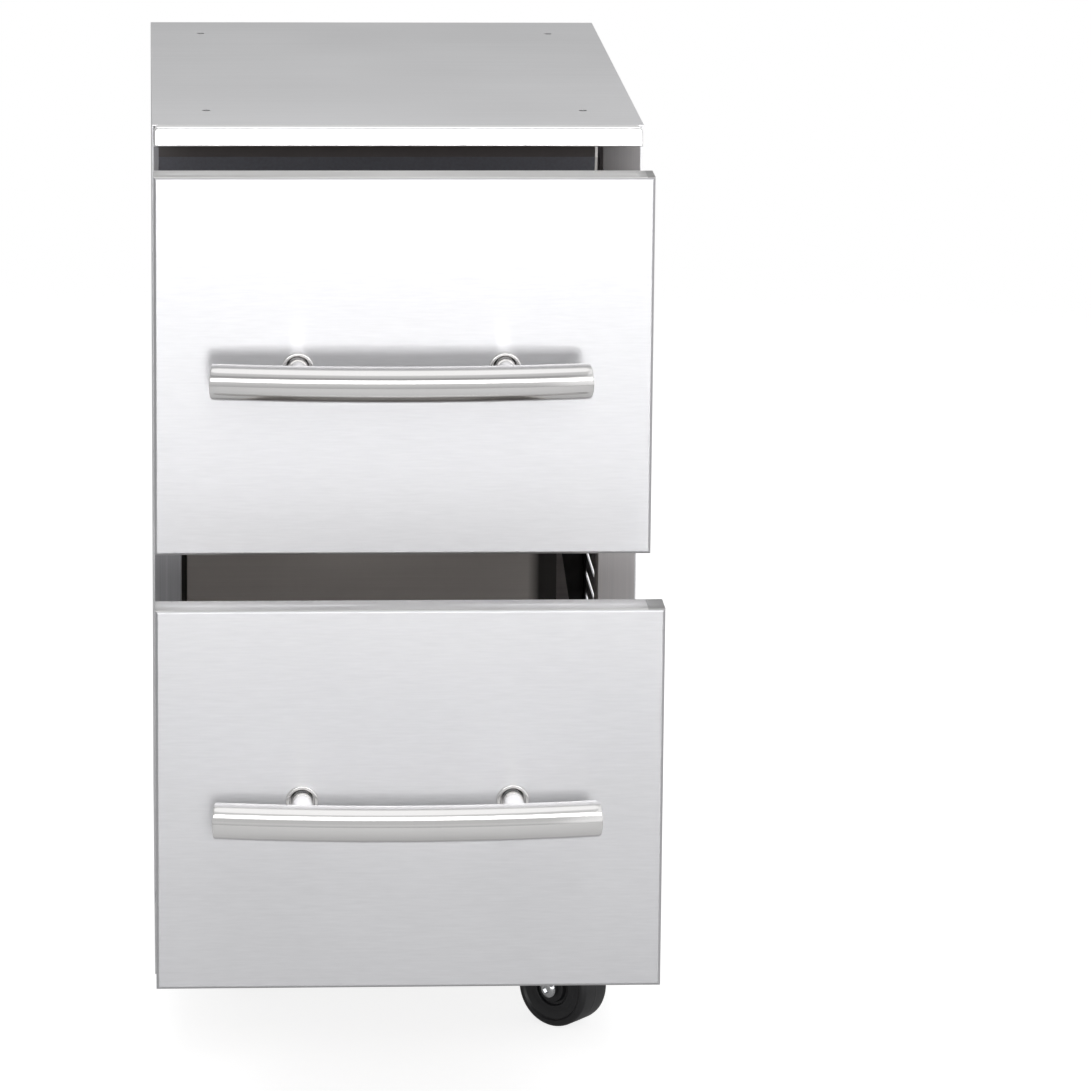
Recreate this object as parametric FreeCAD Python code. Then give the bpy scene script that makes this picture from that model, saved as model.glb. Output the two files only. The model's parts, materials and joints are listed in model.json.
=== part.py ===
import FreeCAD, Part
import math
import os

# Outdoor kitchen drawer unit: a stainless cabinet on four swivel casters with two
# full-extension drawers, shown part-way open. Millimetres. While it is drawn, X runs
# across the unit from its middle, Y runs back from the outer face of the closed fronts
# and Z runs up from the floor. save() then moves the whole unit along Y, so that the
# origin ends under the middle of its box.

os.makedirs("parts", exist_ok=True)

# Cabinet
cabinet_width = 386.0
cabinet_depth = 600.0
cabinet_top = 751.0
skirt_bottom = 64.0
sheet = 1.0
floor_sheet = 1.2
floor_panel_z = 84.0
rail_height = 15.0
rail_depth = 15.0
rail_corner = 4.0
rail_end_inset = 1.5
bend = 1.5

# Face frame behind the closed fronts
frame_y = 35.5
stile_left_width = 22.0
stile_right_width = 30.2
stile_return = 24.5
stile_notch_width = 5.0
plinth_top = 123.0
plinth_lip = 10.0
cross_channel_left = -188.0
cross_channel_right = 158.2
cross_channel_hem = 2.0
cross_channel_fold = 722.5
cross_channel_bottom = 700.0
cross_channel_slant = 6.0

# Drawer fronts
front_width = 385.0
front_height = 296.0
front_thickness = 33.0
front_lip = 14.0
front_bend = 2.2
seam_width = 0.5
seam_inset = 12.5
lower_front_z = 128.0
upper_front_z = 434.0
lower_open = 258.0
upper_open = 112.0
liner_inset = 12.0

# Drawer boxes
box_half_width = 150.0
box_length = 450.0
box_height = 174.0
box_rise = 14.0
box_top_return = 9.0

# Handles
handle_length = 290.0
handle_radius = 13.8
handle_wall = 1.5
handle_bow_radius = 800.0
handle_reach = 83.8
post_spacing = 160.0
post_middle_x = -2.0
bar_middle_x = -4.6
post_radius = 8.5
rosette_radius = 12.5
rosette_bore = 9.6
rosette_height = 4.0
screw_radius = 2.5
screw_head_radius = 5.0
screw_head_height = 3.0
access_hole_radius = 7.0

# Ball slides, 45 mm class
slide_length = 450.0
slide_start = 36.0
slide_thickness = 12.7
slide_height = 45.0
slide_sheet = 1.2
slide_rise = 80.0
slide_gap = 3.2
slide_web_gap = 1.2
outer_mouth_gap = 1.5
middle_mouth_gap = 2.0
inner_mouth_gap = 4.0
ball_radius = 1.3
ball_seat = 0.2
ball_pitch = 30.0
balls_in_a_row = 6

# Brackets that carry the slides, a front pair and a rear pair on each level
bracket_depth = 40.0
bracket_height = 60.0
front_bracket_y = 60.0
rear_bracket_y = 430.0

# Angles in the rear corners
corner_angle_leg = 25.0
corner_angle_depth = 20.0

# Pan pressed into the back panel
back_pan_left = -162.0
back_pan_right = 152.4
back_pan_bottom = 96.0
back_pan_top = 740.0
back_pan_depth = 11.0

# Casters
wheel_radius = 33.0
wheel_width = 35.0
wheel_shoulder = 4.0
axle_radius = 4.0
running_gap = 0.05
caster_trail = 24.0
caster_plate_size = 60.0
caster_plate_sheet = 2.5
caster_hole_spacing = 44.0
caster_hole_radius = 3.2
fork_sheet = 2.5
fork_gap = 38.0
fork_top_z = 72.0
fork_disc_radius = 21.0
fork_back = 12.0
fork_front = 24.0
fork_heel = 12.0
cup_radius = 22.0
raceway_gap = 0.4
leg_end_radius = 7.0
kingpin_radius = 5.0
kingpin_head_radius = 8.0
kingpin_head_height = 3.0
kingpin_head_gap = 0.3
wheel_groove_outer = 15.0
wheel_groove_inner = 12.0
wheel_groove_depth = 3.0
wheel_rim_inner = 26.5
wheel_face_recess = 1.5

# Where each caster swivels, and which way its wheel points from there, in degrees
casters = {
    "front_right": (121.3, 84.0, -38.0),
    "front_left": (-120.0, 172.0, 90.0),
    "rear_right": (120.0, 525.0, 90.0),
    "rear_left": (-120.0, 525.0, 90.0),
}

# Holes and slots
vent_length = 98.0
vent_height = 6.0
vent_pitch = 20.3
vent_count = 7
vent_front_y = 478.0
vent_lowest_z = 160.5
back_vent_rows = 2
back_vent_count = 8
back_vent_pitch = 36.0
back_vent_length = 70.0
back_vent_width = 6.0
back_vent_low_z = 105.0
back_vent_row_step = 545.0
joining_hole_radius = 3.25
joining_spacing_y = 400.0
joining_spacing_z = 500.0
joining_centre_y = 310.0
joining_centre_z = 400.0
top_hole_radius = 3.25
top_spacing_x = 300.0
top_spacing_y = 440.0
top_centre_y = 310.0
rivet_radius = 2.0
rivet_head_radius = 4.0
rivet_head_height = 1.2
rivet_levels = 5
rivet_end_distance = 50.0
bracket_rivet_offset = 20.0
rivet_inset = 7.0
bracket_lip = 12.0
bumper_radius = 5.0
bumper_height = 1.2
bumper_low_inset = 18.0
bumper_top_inset = 72.0

# Worked out from the values above
half_width = cabinet_width / 2
half_front = front_width / 2
opening_half = box_half_width + slide_thickness
front_plane = -(cabinet_depth - lower_open - handle_reach) / 2
panel_top = cabinet_top - sheet
rail_bottom = cabinet_top - rail_height
liner_back = front_thickness + sheet
box_front_y = liner_back
box_back_y = box_front_y + box_length
handle_axis_out = handle_reach - handle_radius
caster_plate_z = floor_panel_z - caster_plate_sheet


def vector(x, y, z):
    return FreeCAD.Vector(x, y, z)


def block(x0, x1, y0, y1, z0, z1):
    """A rectangular block between two corners."""
    return Part.makeBox(x1 - x0, y1 - y0, z1 - z0, vector(x0, y0, z0))


def rod(x, y, z, radius, length, direction):
    return Part.makeCylinder(radius, length, vector(x, y, z), direction)


def prism(points, direction):
    """A straight bar with the given closed outline."""
    outline = Part.makePolygon(points + [points[0]])
    return Part.Face(outline).extrude(direction)


def joined(shapes):
    body = shapes[0]
    for other in shapes[1:]:
        body = body.fuse(other)
    return body.removeSplitter()


def group(shapes):
    """Separate solids kept together in one sub-part."""
    return Part.makeCompound(shapes)


def mirrored(shape):
    return shape.mirror(vector(0, 0, 0), vector(1, 0, 0))


def save(name, shape, slide_out=0.0):
    """Write one sub-part, pulled out by slide_out, in the unit's own frame."""
    placed = shape.copy()
    placed.translate(vector(0, front_plane - slide_out, 0))
    solids = placed.Solids
    if not placed.isValid() or not solids:
        raise ValueError(name + " is not a valid solid")
    placed.exportStep("parts/" + name + ".step")
    print(name, len(solids), round(placed.Volume / 1000, 2), "cm3")


def slot_along_y(x, y_start, z, length, height, depth):
    """A round-ended slot cutter through a panel that faces along X."""
    radius = height / 2
    along_x = vector(1, 0, 0)
    middle = block(x, x + depth, y_start + radius, y_start + length - radius, z - radius, z + radius)
    first = rod(x, y_start + radius, z, radius, depth, along_x)
    last = rod(x, y_start + length - radius, z, radius, depth, along_x)
    return joined([middle, first, last])


def slot_along_z(x, y, z_start, length, width, depth):
    """A round-ended slot cutter through a panel that faces along Y."""
    radius = width / 2
    along_y = vector(0, 1, 0)
    middle = block(x - radius, x + radius, y, y + depth, z_start + radius, z_start + length - radius)
    first = rod(x, y, z_start + radius, radius, depth, along_y)
    last = rod(x, y, z_start + length - radius, radius, depth, along_y)
    return joined([middle, first, last])


# Cabinet panels

def joining_holes(x, depth):
    holes = []
    for side_y in (-0.5, 0.5):
        for side_z in (-0.5, 0.5):
            y = joining_centre_y + side_y * joining_spacing_y
            z = joining_centre_z + side_z * joining_spacing_z
            holes.append(rod(x, y, z, joining_hole_radius, depth, vector(1, 0, 0)))
    return holes


def rivet_places():
    """Rivets through a side panel into the slide brackets and a corner angle: pairs of y and z."""
    low = floor_panel_z + rivet_end_distance
    step = (panel_top - rivet_end_distance - low) / (rivet_levels - 1)
    places = []
    for level in range(rivet_levels):
        places.append((cabinet_depth - corner_angle_depth / 2, low + level * step))
    for front_z in (lower_front_z, upper_front_z):
        for bracket_y in (front_bracket_y, rear_bracket_y):
            for offset in (-bracket_rivet_offset, bracket_rivet_offset):
                places.append((bracket_y + rivet_inset, front_z + slide_rise + offset))
    return places


def without_rivet_holes(shape, x, depth):
    for y, z in rivet_places():
        shape = shape.cut(rod(x, y, z, rivet_radius, depth, vector(1, 0, 0)))
    return shape


def side_panel_left():
    """Plain sheet with four holes for bolting to a neighbour."""
    panel = block(-half_width, -half_width + sheet, frame_y, cabinet_depth, skirt_bottom, panel_top)
    for hole in joining_holes(-half_width - sheet, 3 * sheet):
        panel = panel.cut(hole)
    return without_rivet_holes(panel, -half_width - sheet, 3 * sheet)


def side_panel_right():
    """Sheet with a stack of vent slots in its rear half."""
    panel = block(half_width - sheet, half_width, frame_y, cabinet_depth, skirt_bottom, panel_top)
    for index in range(vent_count):
        z = vent_lowest_z + index * vent_pitch
        cutter = slot_along_y(half_width - 2 * sheet, vent_front_y, z, vent_length, vent_height, 3 * sheet)
        panel = panel.cut(cutter)
    return without_rivet_holes(panel, half_width - 2 * sheet, 3 * sheet)


def back_panel():
    """Sheet between the side panels, pressed inwards as a pan that has two rows of upright vent slots."""
    inner = half_width - sheet
    pan_y = cabinet_depth - back_pan_depth
    flat = block(-inner, inner, cabinet_depth - sheet, cabinet_depth, skirt_bottom, panel_top)
    pan = block(back_pan_left, back_pan_right, pan_y, cabinet_depth, back_pan_bottom, back_pan_top)
    hollow = block(back_pan_left + sheet, back_pan_right - sheet, pan_y + sheet, cabinet_depth + sheet,
                   back_pan_bottom + sheet, back_pan_top - sheet)
    panel = joined([flat, pan]).cut(hollow)
    first_x = -back_vent_pitch * (back_vent_count - 1) / 2
    for row in range(back_vent_rows):
        z = back_vent_low_z + row * back_vent_row_step
        for index in range(back_vent_count):
            x = first_x + index * back_vent_pitch
            cutter = slot_along_z(x, pan_y - sheet, z, back_vent_length, back_vent_width, 3 * sheet)
            panel = panel.cut(cutter)
    return panel


def caster_holes(x, y, z, depth):
    holes = []
    for side_x in (-0.5, 0.5):
        for side_y in (-0.5, 0.5):
            hole_x = x + side_x * caster_hole_spacing
            hole_y = y + side_y * caster_hole_spacing
            holes.append(rod(hole_x, hole_y, z, caster_hole_radius, depth, vector(0, 0, 1)))
    return holes


def bottom_panel():
    """Floor sheet with its rear edge turned down as a skirt."""
    inner = half_width - sheet
    top = floor_panel_z + floor_sheet
    back = cabinet_depth - sheet
    floor = block(-inner, inner, frame_y + sheet, back, floor_panel_z, top)
    skirt = block(-inner, inner, back - sheet, back, skirt_bottom, floor_panel_z)
    lip = block(-inner, inner, back - plinth_lip, back, skirt_bottom, skirt_bottom + sheet)
    panel = joined([floor, skirt, lip])
    for x, y, angle in casters.values():
        for hole in caster_holes(x, y, floor_panel_z - sheet, 3 * sheet + floor_sheet):
            panel = panel.cut(hole)
    return panel


def top_panel():
    """Top sheet behind the rail, with four holes for fixing a worktop."""
    panel = block(-half_width, half_width, rail_depth, cabinet_depth, panel_top, cabinet_top)
    for side_x in (-0.5, 0.5):
        for side_y in (-0.5, 0.5):
            x = side_x * top_spacing_x
            y = top_centre_y + side_y * top_spacing_y
            panel = panel.cut(rod(x, y, panel_top - sheet, top_hole_radius, 3 * sheet, vector(0, 0, 1)))
    return panel


def top_rail():
    """Rolled front edge: a shallow pan that is open at its back."""
    end_x = half_width - rail_end_inset
    outer = block(-end_x, end_x, 0, rail_depth, rail_bottom, cabinet_top)
    upright_ends = []
    for edge in outer.Edges:
        first, last = [v.Point for v in edge.Vertexes]
        along_depth = abs(first.y - last.y) > 1
        at_top = min(first.z, last.z) > cabinet_top - 0.1
        if along_depth and at_top:
            upright_ends.append(edge)
    outer = outer.makeFillet(rail_corner, upright_ends)
    front_edges = []
    for edge in outer.Edges:
        if edge.BoundBox.YMax < 0.1:
            front_edges.append(edge)
    outer = outer.makeFillet(bend, front_edges)
    inner = block(-end_x + sheet, end_x - sheet, sheet, rail_depth + sheet,
                  rail_bottom + sheet, cabinet_top - sheet)
    inner_corners = []
    for edge in inner.Edges:
        first, last = [v.Point for v in edge.Vertexes]
        along_depth = abs(first.y - last.y) > 1
        at_top = min(first.z, last.z) > cabinet_top - 2 * sheet
        if along_depth and at_top:
            inner_corners.append(edge)
    inner = inner.makeFillet(rail_corner - sheet, inner_corners)
    return outer.cut(inner)


# Face frame

def stile(inner_x, outer_x, direction):
    """Upright face strip with a return at its inner edge; direction points outwards."""
    x_low = min(inner_x, outer_x)
    x_high = max(inner_x, outer_x)
    bottom = floor_panel_z + floor_sheet
    face = block(x_low, x_high, frame_y, frame_y + sheet, bottom, panel_top)
    return_low = min(inner_x, inner_x + direction * sheet)
    edge = block(return_low, return_low + sheet, frame_y, frame_y + stile_return, bottom, panel_top)
    return joined([face, edge])


def stile_left():
    """The left stile is narrowed at its head, where the cross channel laps it."""
    inner_x = -half_width + stile_left_width
    body = stile(inner_x, -half_width + sheet, -1)
    notch = block(-half_width + stile_notch_width, inner_x + sheet,
                  frame_y - sheet, frame_y + stile_return + sheet,
                  cross_channel_bottom - 2 * sheet, panel_top + sheet)
    return body.cut(notch)


def stile_right():
    inner_x = half_width - stile_right_width
    return stile(inner_x, half_width - sheet, 1)


def cross_channel():
    """Head channel across the opening: upright web, slanted lower leg and a hemmed right end flange."""
    front = frame_y - sheet
    slant_y = front + cross_channel_slant
    outline = [
        vector(cross_channel_left, front, panel_top),
        vector(cross_channel_left, front, cross_channel_fold),
        vector(cross_channel_left, slant_y, cross_channel_bottom),
        vector(cross_channel_left, slant_y + sheet, cross_channel_bottom),
        vector(cross_channel_left, front + sheet, cross_channel_fold),
        vector(cross_channel_left, front + sheet, panel_top),
    ]
    width = cross_channel_right - cross_channel_left
    web = prism(outline, vector(width, 0, 0))
    hem_x = cross_channel_right - cross_channel_hem
    flange = [
        vector(hem_x, front, panel_top),
        vector(hem_x, front, cross_channel_fold),
        vector(hem_x, slant_y, cross_channel_bottom),
        vector(hem_x, frame_y + stile_return, cross_channel_bottom),
        vector(hem_x, frame_y + stile_return, panel_top),
    ]
    end = prism(flange, vector(cross_channel_hem, 0, 0))
    return joined([web, end])


def plinth_front():
    """Kick board with a top shelf that runs back to the stiles and a short lower lip."""
    face = block(-half_width, half_width, 0, sheet, skirt_bottom, plinth_top)
    shelf = block(-half_width, half_width, 0, frame_y, plinth_top - sheet, plinth_top)
    lip = block(-half_width, half_width, 0, plinth_lip, skirt_bottom, skirt_bottom + sheet)
    left_end = block(-half_width, -half_width + sheet, 0, frame_y, skirt_bottom, plinth_top)
    right_end = mirrored(left_end)
    body = joined([face, shelf, lip, left_end, right_end])
    fold_edges = []
    for edge in body.Edges:
        box = edge.BoundBox
        along_x = box.XLength > cabinet_width - 1
        if along_x and box.YMax < 0.1:
            fold_edges.append(edge)
    return body.makeFillet(bend / 2, fold_edges)


def slide_bracket(y_start, middle_z):
    """Channel between the right side panel and a slide on it, with a lip on the panel."""
    y_end = y_start + bracket_depth
    z_low = middle_z - bracket_height / 2
    z_high = middle_z + bracket_height / 2
    outer_x = half_width - sheet
    web = block(opening_half, opening_half + sheet, y_start, y_end, z_low, z_high)
    front = block(opening_half, outer_x, y_start, y_start + sheet, z_low, z_high)
    rear = block(opening_half, outer_x, y_end - sheet, y_end, z_low, z_high)
    lip = block(outer_x - sheet, outer_x, y_start, y_start + bracket_lip, z_low, z_high)
    body = joined([web, front, rear, lip])
    return without_rivet_holes(body, outer_x - 2 * sheet, 3 * sheet)


def slide_brackets():
    rights = []
    for front_z in (lower_front_z, upper_front_z):
        for bracket_y in (front_bracket_y, rear_bracket_y):
            rights.append(slide_bracket(bracket_y, front_z + slide_rise))
    lefts = [mirrored(shape) for shape in rights]
    return group(rights + lefts)


def rear_corner_angles():
    """Upright angles that join the side panels to the back panel."""
    outer_x = half_width - sheet
    back = cabinet_depth - sheet
    bottom = floor_panel_z + floor_sheet
    back_leg = block(outer_x - corner_angle_leg, outer_x, back - sheet, back, bottom, panel_top)
    side_leg = block(outer_x - sheet, outer_x, back - corner_angle_depth, back, bottom, panel_top)
    right = without_rivet_holes(joined([back_leg, side_leg]), outer_x - 2 * sheet, 3 * sheet)
    return group([right, mirrored(right)])


# Ball slides, drawn on the right at height 0 and then lifted into place

def channel(web_x, web_sheet, mouth_x, half_height):
    """A C section along Y whose web is at web_x and whose lips reach to mouth_x."""
    y0 = slide_start
    y1 = slide_start + slide_length
    web_end = web_x + web_sheet
    web = block(min(web_x, web_end), max(web_x, web_end), y0, y1, -half_height, half_height)
    x_low = min(web_x, mouth_x)
    x_high = max(web_x, mouth_x)
    top = block(x_low, x_high, y0, y1, half_height - slide_sheet, half_height)
    bottom = block(x_low, x_high, y0, y1, -half_height, -half_height + slide_sheet)
    return joined([web, top, bottom])


def slide_outer():
    return channel(opening_half, -slide_sheet, box_half_width + outer_mouth_gap, slide_height / 2)


def middle_half_height():
    return slide_height / 2 - slide_sheet - slide_gap


def slide_middle():
    """Middle member with the balls that run in the outer member's lips."""
    half = middle_half_height()
    web_x = opening_half - slide_sheet - slide_web_gap
    member = channel(web_x, -slide_sheet, box_half_width + middle_mouth_gap, half)
    balls = []
    ball_x = box_half_width + slide_thickness / 2
    first_y = slide_start + slide_length / 2 - ball_pitch * (balls_in_a_row - 1) / 2
    ball_z = half + ball_radius - ball_seat
    for level in (ball_z, -ball_z):
        for index in range(balls_in_a_row):
            centre = vector(ball_x, first_y + index * ball_pitch, level)
            balls.append(Part.makeSphere(ball_radius, centre))
    return joined([member] + balls)


def slide_inner():
    half = middle_half_height() - slide_sheet - slide_gap
    return channel(box_half_width, slide_sheet, opening_half - slide_sheet - inner_mouth_gap, half)


def save_slides(drawer, front_z, pulled_out):
    members = {
        "slide_outer": (slide_outer(), 0.0),
        "slide_middle": (slide_middle(), pulled_out / 2),
        "slide_inner": (slide_inner(), pulled_out),
    }
    for member, (shape, travel) in members.items():
        right = shape.copy()
        right.translate(vector(0, 0, front_z + slide_rise))
        save(drawer + "_" + member + "_right", right, travel)
        save(drawer + "_" + member + "_left", mirrored(right), travel)


# Drawers, drawn closed with the lower edge of the front at height 0

def handle_hole_places():
    places = []
    for side in (-0.5, 0.5):
        places.append((post_middle_x + side * post_spacing, front_height / 2))
    return places


def front_skin():
    """Folded pan: face, four flanges and a rear lip all round, with a seam near each top corner."""
    outer = block(-half_front, half_front, 0, front_thickness, 0, front_height)
    front_edges = [edge for edge in outer.Edges if edge.BoundBox.YMax < 0.1]
    outer = outer.makeFillet(front_bend, front_edges)
    inner = block(-half_front + sheet, half_front - sheet, sheet, front_thickness - sheet,
                  sheet, front_height - sheet)
    mouth = block(-half_front + front_lip, half_front - front_lip, sheet, front_thickness + sheet,
                  front_lip, front_height - front_lip)
    body = outer.cut(inner).cut(mouth)
    for side in (-1, 1):
        seam_x = side * (half_front - seam_inset)
        groove = block(seam_x - seam_width / 2, seam_x + seam_width / 2,
                       2 * front_bend, front_thickness - 2 * sheet,
                       front_height - sheet / 2, front_height + sheet)
        body = body.cut(groove)
    for x, z in handle_hole_places():
        body = body.cut(rod(x, -sheet, z, screw_radius, 3 * sheet, vector(0, 1, 0)))
    return body


def front_liner():
    """Flat inner plate of the front, with a hole over each handle screw."""
    panel = block(-half_front + liner_inset, half_front - liner_inset, front_thickness, liner_back,
                  liner_inset, front_height - liner_inset)
    start = front_thickness - sheet
    for x, z in handle_hole_places():
        panel = panel.cut(rod(x, start, z, access_hole_radius, 3 * sheet, vector(0, 1, 0)))
    return panel


def box_side():
    """Right wall of the box with its top edge returned inwards."""
    x1 = box_half_width
    top = box_rise + box_height
    wall = block(x1 - sheet, x1, box_front_y, box_back_y, box_rise, top)
    edge = block(x1 - box_top_return, x1, box_front_y, box_back_y, top - sheet, top)
    return joined([wall, edge])


def box_back():
    inner = box_half_width - sheet
    top = box_rise + box_height - sheet
    wall = block(-inner, inner, box_back_y - sheet, box_back_y, box_rise, top)
    return wall


def box_bottom():
    inner = box_half_width - sheet
    return block(-inner, inner, box_front_y, box_back_y - sheet, box_rise, box_rise + sheet)


def bow_centre_y():
    return -handle_axis_out + handle_bow_radius


def bowed_bar(radius, half_length):
    """A round bar bent to the handle's bow, closed by flat ends square to it."""
    half_angle = math.degrees(math.asin(half_length / handle_bow_radius))
    centre = vector(bar_middle_x, bow_centre_y(), front_height / 2)
    start = vector(bar_middle_x, -handle_axis_out, front_height / 2)
    circle = Part.Circle(start, vector(1, 0, 0), radius).toShape()
    face = Part.Face(Part.Wire([circle]))
    face.rotate(centre, vector(0, 0, 1), -half_angle)
    return face.revolve(centre, vector(0, 0, 1), 2 * half_angle)


def handle_tube():
    outer = bowed_bar(handle_radius, handle_length / 2)
    inner = bowed_bar(handle_radius - handle_wall, handle_length / 2 - 2 * handle_wall)
    return outer.cut(inner)


def handle_posts():
    """Two posts whose outer ends are saddled to the tube."""
    tube = bowed_bar(handle_radius, handle_length / 2)
    posts = []
    for x, z in handle_hole_places():
        post = rod(x, -handle_axis_out, z, post_radius, handle_axis_out, vector(0, 1, 0))
        tapped = rod(x, -screw_depth(), z, screw_radius, screw_depth() + sheet, vector(0, 1, 0))
        posts.append(post.cut(tube).cut(tapped))
    return group(posts)


def screw_depth():
    return 4 * screw_radius


def rosette(x, z):
    """Ring round the foot of a post: flat back, rounded rim, open bore."""
    round_edge = 1.5
    profile = [
        vector(rosette_bore, 0, 0),
        vector(rosette_radius, 0, 0),
        vector(rosette_radius, -rosette_height + round_edge, 0),
        vector(rosette_radius - round_edge, -rosette_height, 0),
        vector(rosette_bore, -rosette_height, 0),
    ]
    corner = round_edge * (1 - math.sqrt(0.5))
    rim = vector(rosette_radius - corner, -rosette_height + corner, 0)
    edges = [
        Part.LineSegment(profile[0], profile[1]).toShape(),
        Part.LineSegment(profile[1], profile[2]).toShape(),
        Part.Arc(profile[2], rim, profile[3]).toShape(),
        Part.LineSegment(profile[3], profile[4]).toShape(),
        Part.LineSegment(profile[4], profile[0]).toShape(),
    ]
    ring = Part.Face(Part.Wire(edges)).revolve(vector(0, 0, 0), vector(0, 1, 0), 360)
    ring.translate(vector(x, 0, z))
    return ring


def handle_rosettes():
    return group([rosette(x, z) for x, z in handle_hole_places()])


def handle_screws():
    """Handle screws, seen through the liner."""
    screws = []
    for x, z in handle_hole_places():
        shank = rod(x, -screw_depth(), z, screw_radius, screw_depth() + sheet, vector(0, 1, 0))
        head = rod(x, sheet, z, screw_head_radius, screw_head_height, vector(0, 1, 0))
        screws.append(joined([shank, head]))
    return group(screws)


def save_drawer(drawer, front_z, pulled_out):
    side = box_side()
    pieces = {
        "front_skin": front_skin(),
        "front_liner": front_liner(),
        "box_side_right": side,
        "box_side_left": mirrored(side),
        "box_back": box_back(),
        "box_bottom": box_bottom(),
        "handle_tube": handle_tube(),
        "handle_posts": handle_posts(),
        "handle_rosettes": handle_rosettes(),
        "handle_screws": handle_screws(),
    }
    for name, shape in pieces.items():
        raised = shape.copy()
        raised.translate(vector(0, 0, front_z))
        save(drawer + "_" + name, raised, pulled_out)


# Casters, drawn with the swivel axis at the origin and the wheel along +X

def caster_plates():
    """Fixed top plates with their raceway cups and kingpins."""
    plates = []
    half = caster_plate_size / 2
    for x, y, angle in casters.values():
        plate = block(x - half, x + half, y - half, y + half, caster_plate_z, floor_panel_z)
        cup_bottom = fork_top_z + fork_sheet + raceway_gap
        cup = rod(x, y, cup_bottom, cup_radius, caster_plate_z - cup_bottom, vector(0, 0, 1))
        head_bottom = fork_top_z - kingpin_head_gap - kingpin_head_height
        pin = rod(x, y, head_bottom, kingpin_radius, caster_plate_z - head_bottom, vector(0, 0, 1))
        pin_head = rod(x, y, head_bottom, kingpin_head_radius, kingpin_head_height, vector(0, 0, 1))
        body = joined([plate, cup, pin, pin_head])
        for hole in caster_holes(x, y, caster_plate_z - 1, caster_plate_sheet + 2):
            body = body.cut(hole)
        plates.append(body)
    return group(plates)


def caster_bolts():
    """Hexagon bolts through each caster plate and the floor panel, with their nuts."""
    bolts = []
    head_height = 4.0
    across_corners = 5.8
    nut_height = 5.0
    nut_z = floor_panel_z + floor_sheet
    for x, y, angle in casters.values():
        for side_x in (-0.5, 0.5):
            for side_y in (-0.5, 0.5):
                bolt_x = x + side_x * caster_hole_spacing
                bolt_y = y + side_y * caster_hole_spacing
                low = caster_plate_z - head_height
                shank = rod(bolt_x, bolt_y, caster_plate_z, caster_hole_radius,
                            nut_z + nut_height + 1 - caster_plate_z, vector(0, 0, 1))
                head = hexagon(bolt_x, bolt_y, low, across_corners, head_height)
                nut = hexagon(bolt_x, bolt_y, nut_z, across_corners, nut_height)
                bolts.append(joined([shank, head, nut]))
    return group(bolts)


def hexagon(x, y, z, corner_radius, height):
    points = []
    for index in range(6):
        angle = math.radians(60 * index)
        points.append(vector(x + corner_radius * math.cos(angle), y + corner_radius * math.sin(angle), z))
    return prism(points, vector(0, 0, height))


def fork_leg(side):
    """One cheek of the fork: broad under the disc, tapering to a round end at the axle."""
    y_inner = side * fork_gap / 2
    y_outer = y_inner + side * fork_sheet
    start = min(y_inner, y_outer)
    tip = vector(caster_trail, start, wheel_radius)
    points = [
        vector(-fork_back, start, fork_top_z + fork_sheet),
        vector(fork_front, start, fork_top_z + fork_sheet),
        vector(caster_trail + leg_end_radius, start, wheel_radius),
        vector(caster_trail - leg_end_radius, start, wheel_radius),
        vector(-fork_back, start, fork_top_z - fork_heel),
    ]
    cheek = prism(points, vector(0, fork_sheet, 0))
    end = Part.makeCylinder(leg_end_radius, fork_sheet, tip, vector(0, 1, 0))
    return joined([cheek, end])


def fork():
    """Top disc and bridge with two cheeks, bored for the kingpin and the axle."""
    half = fork_gap / 2 + fork_sheet
    bridge = block(-fork_back, fork_front, -half, half, fork_top_z, fork_top_z + fork_sheet)
    disc = rod(0, 0, fork_top_z, fork_disc_radius, fork_sheet, vector(0, 0, 1))
    body = joined([bridge, disc, fork_leg(-1), fork_leg(1)])
    kingpin_hole = rod(0, 0, fork_top_z - 2, kingpin_radius + running_gap, fork_sheet + 4, vector(0, 0, 1))
    axle_hole = rod(caster_trail, -half - 1, wheel_radius, axle_radius, 2 * half + 2, vector(0, 1, 0))
    return body.cut(kingpin_hole).cut(axle_hole)


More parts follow.
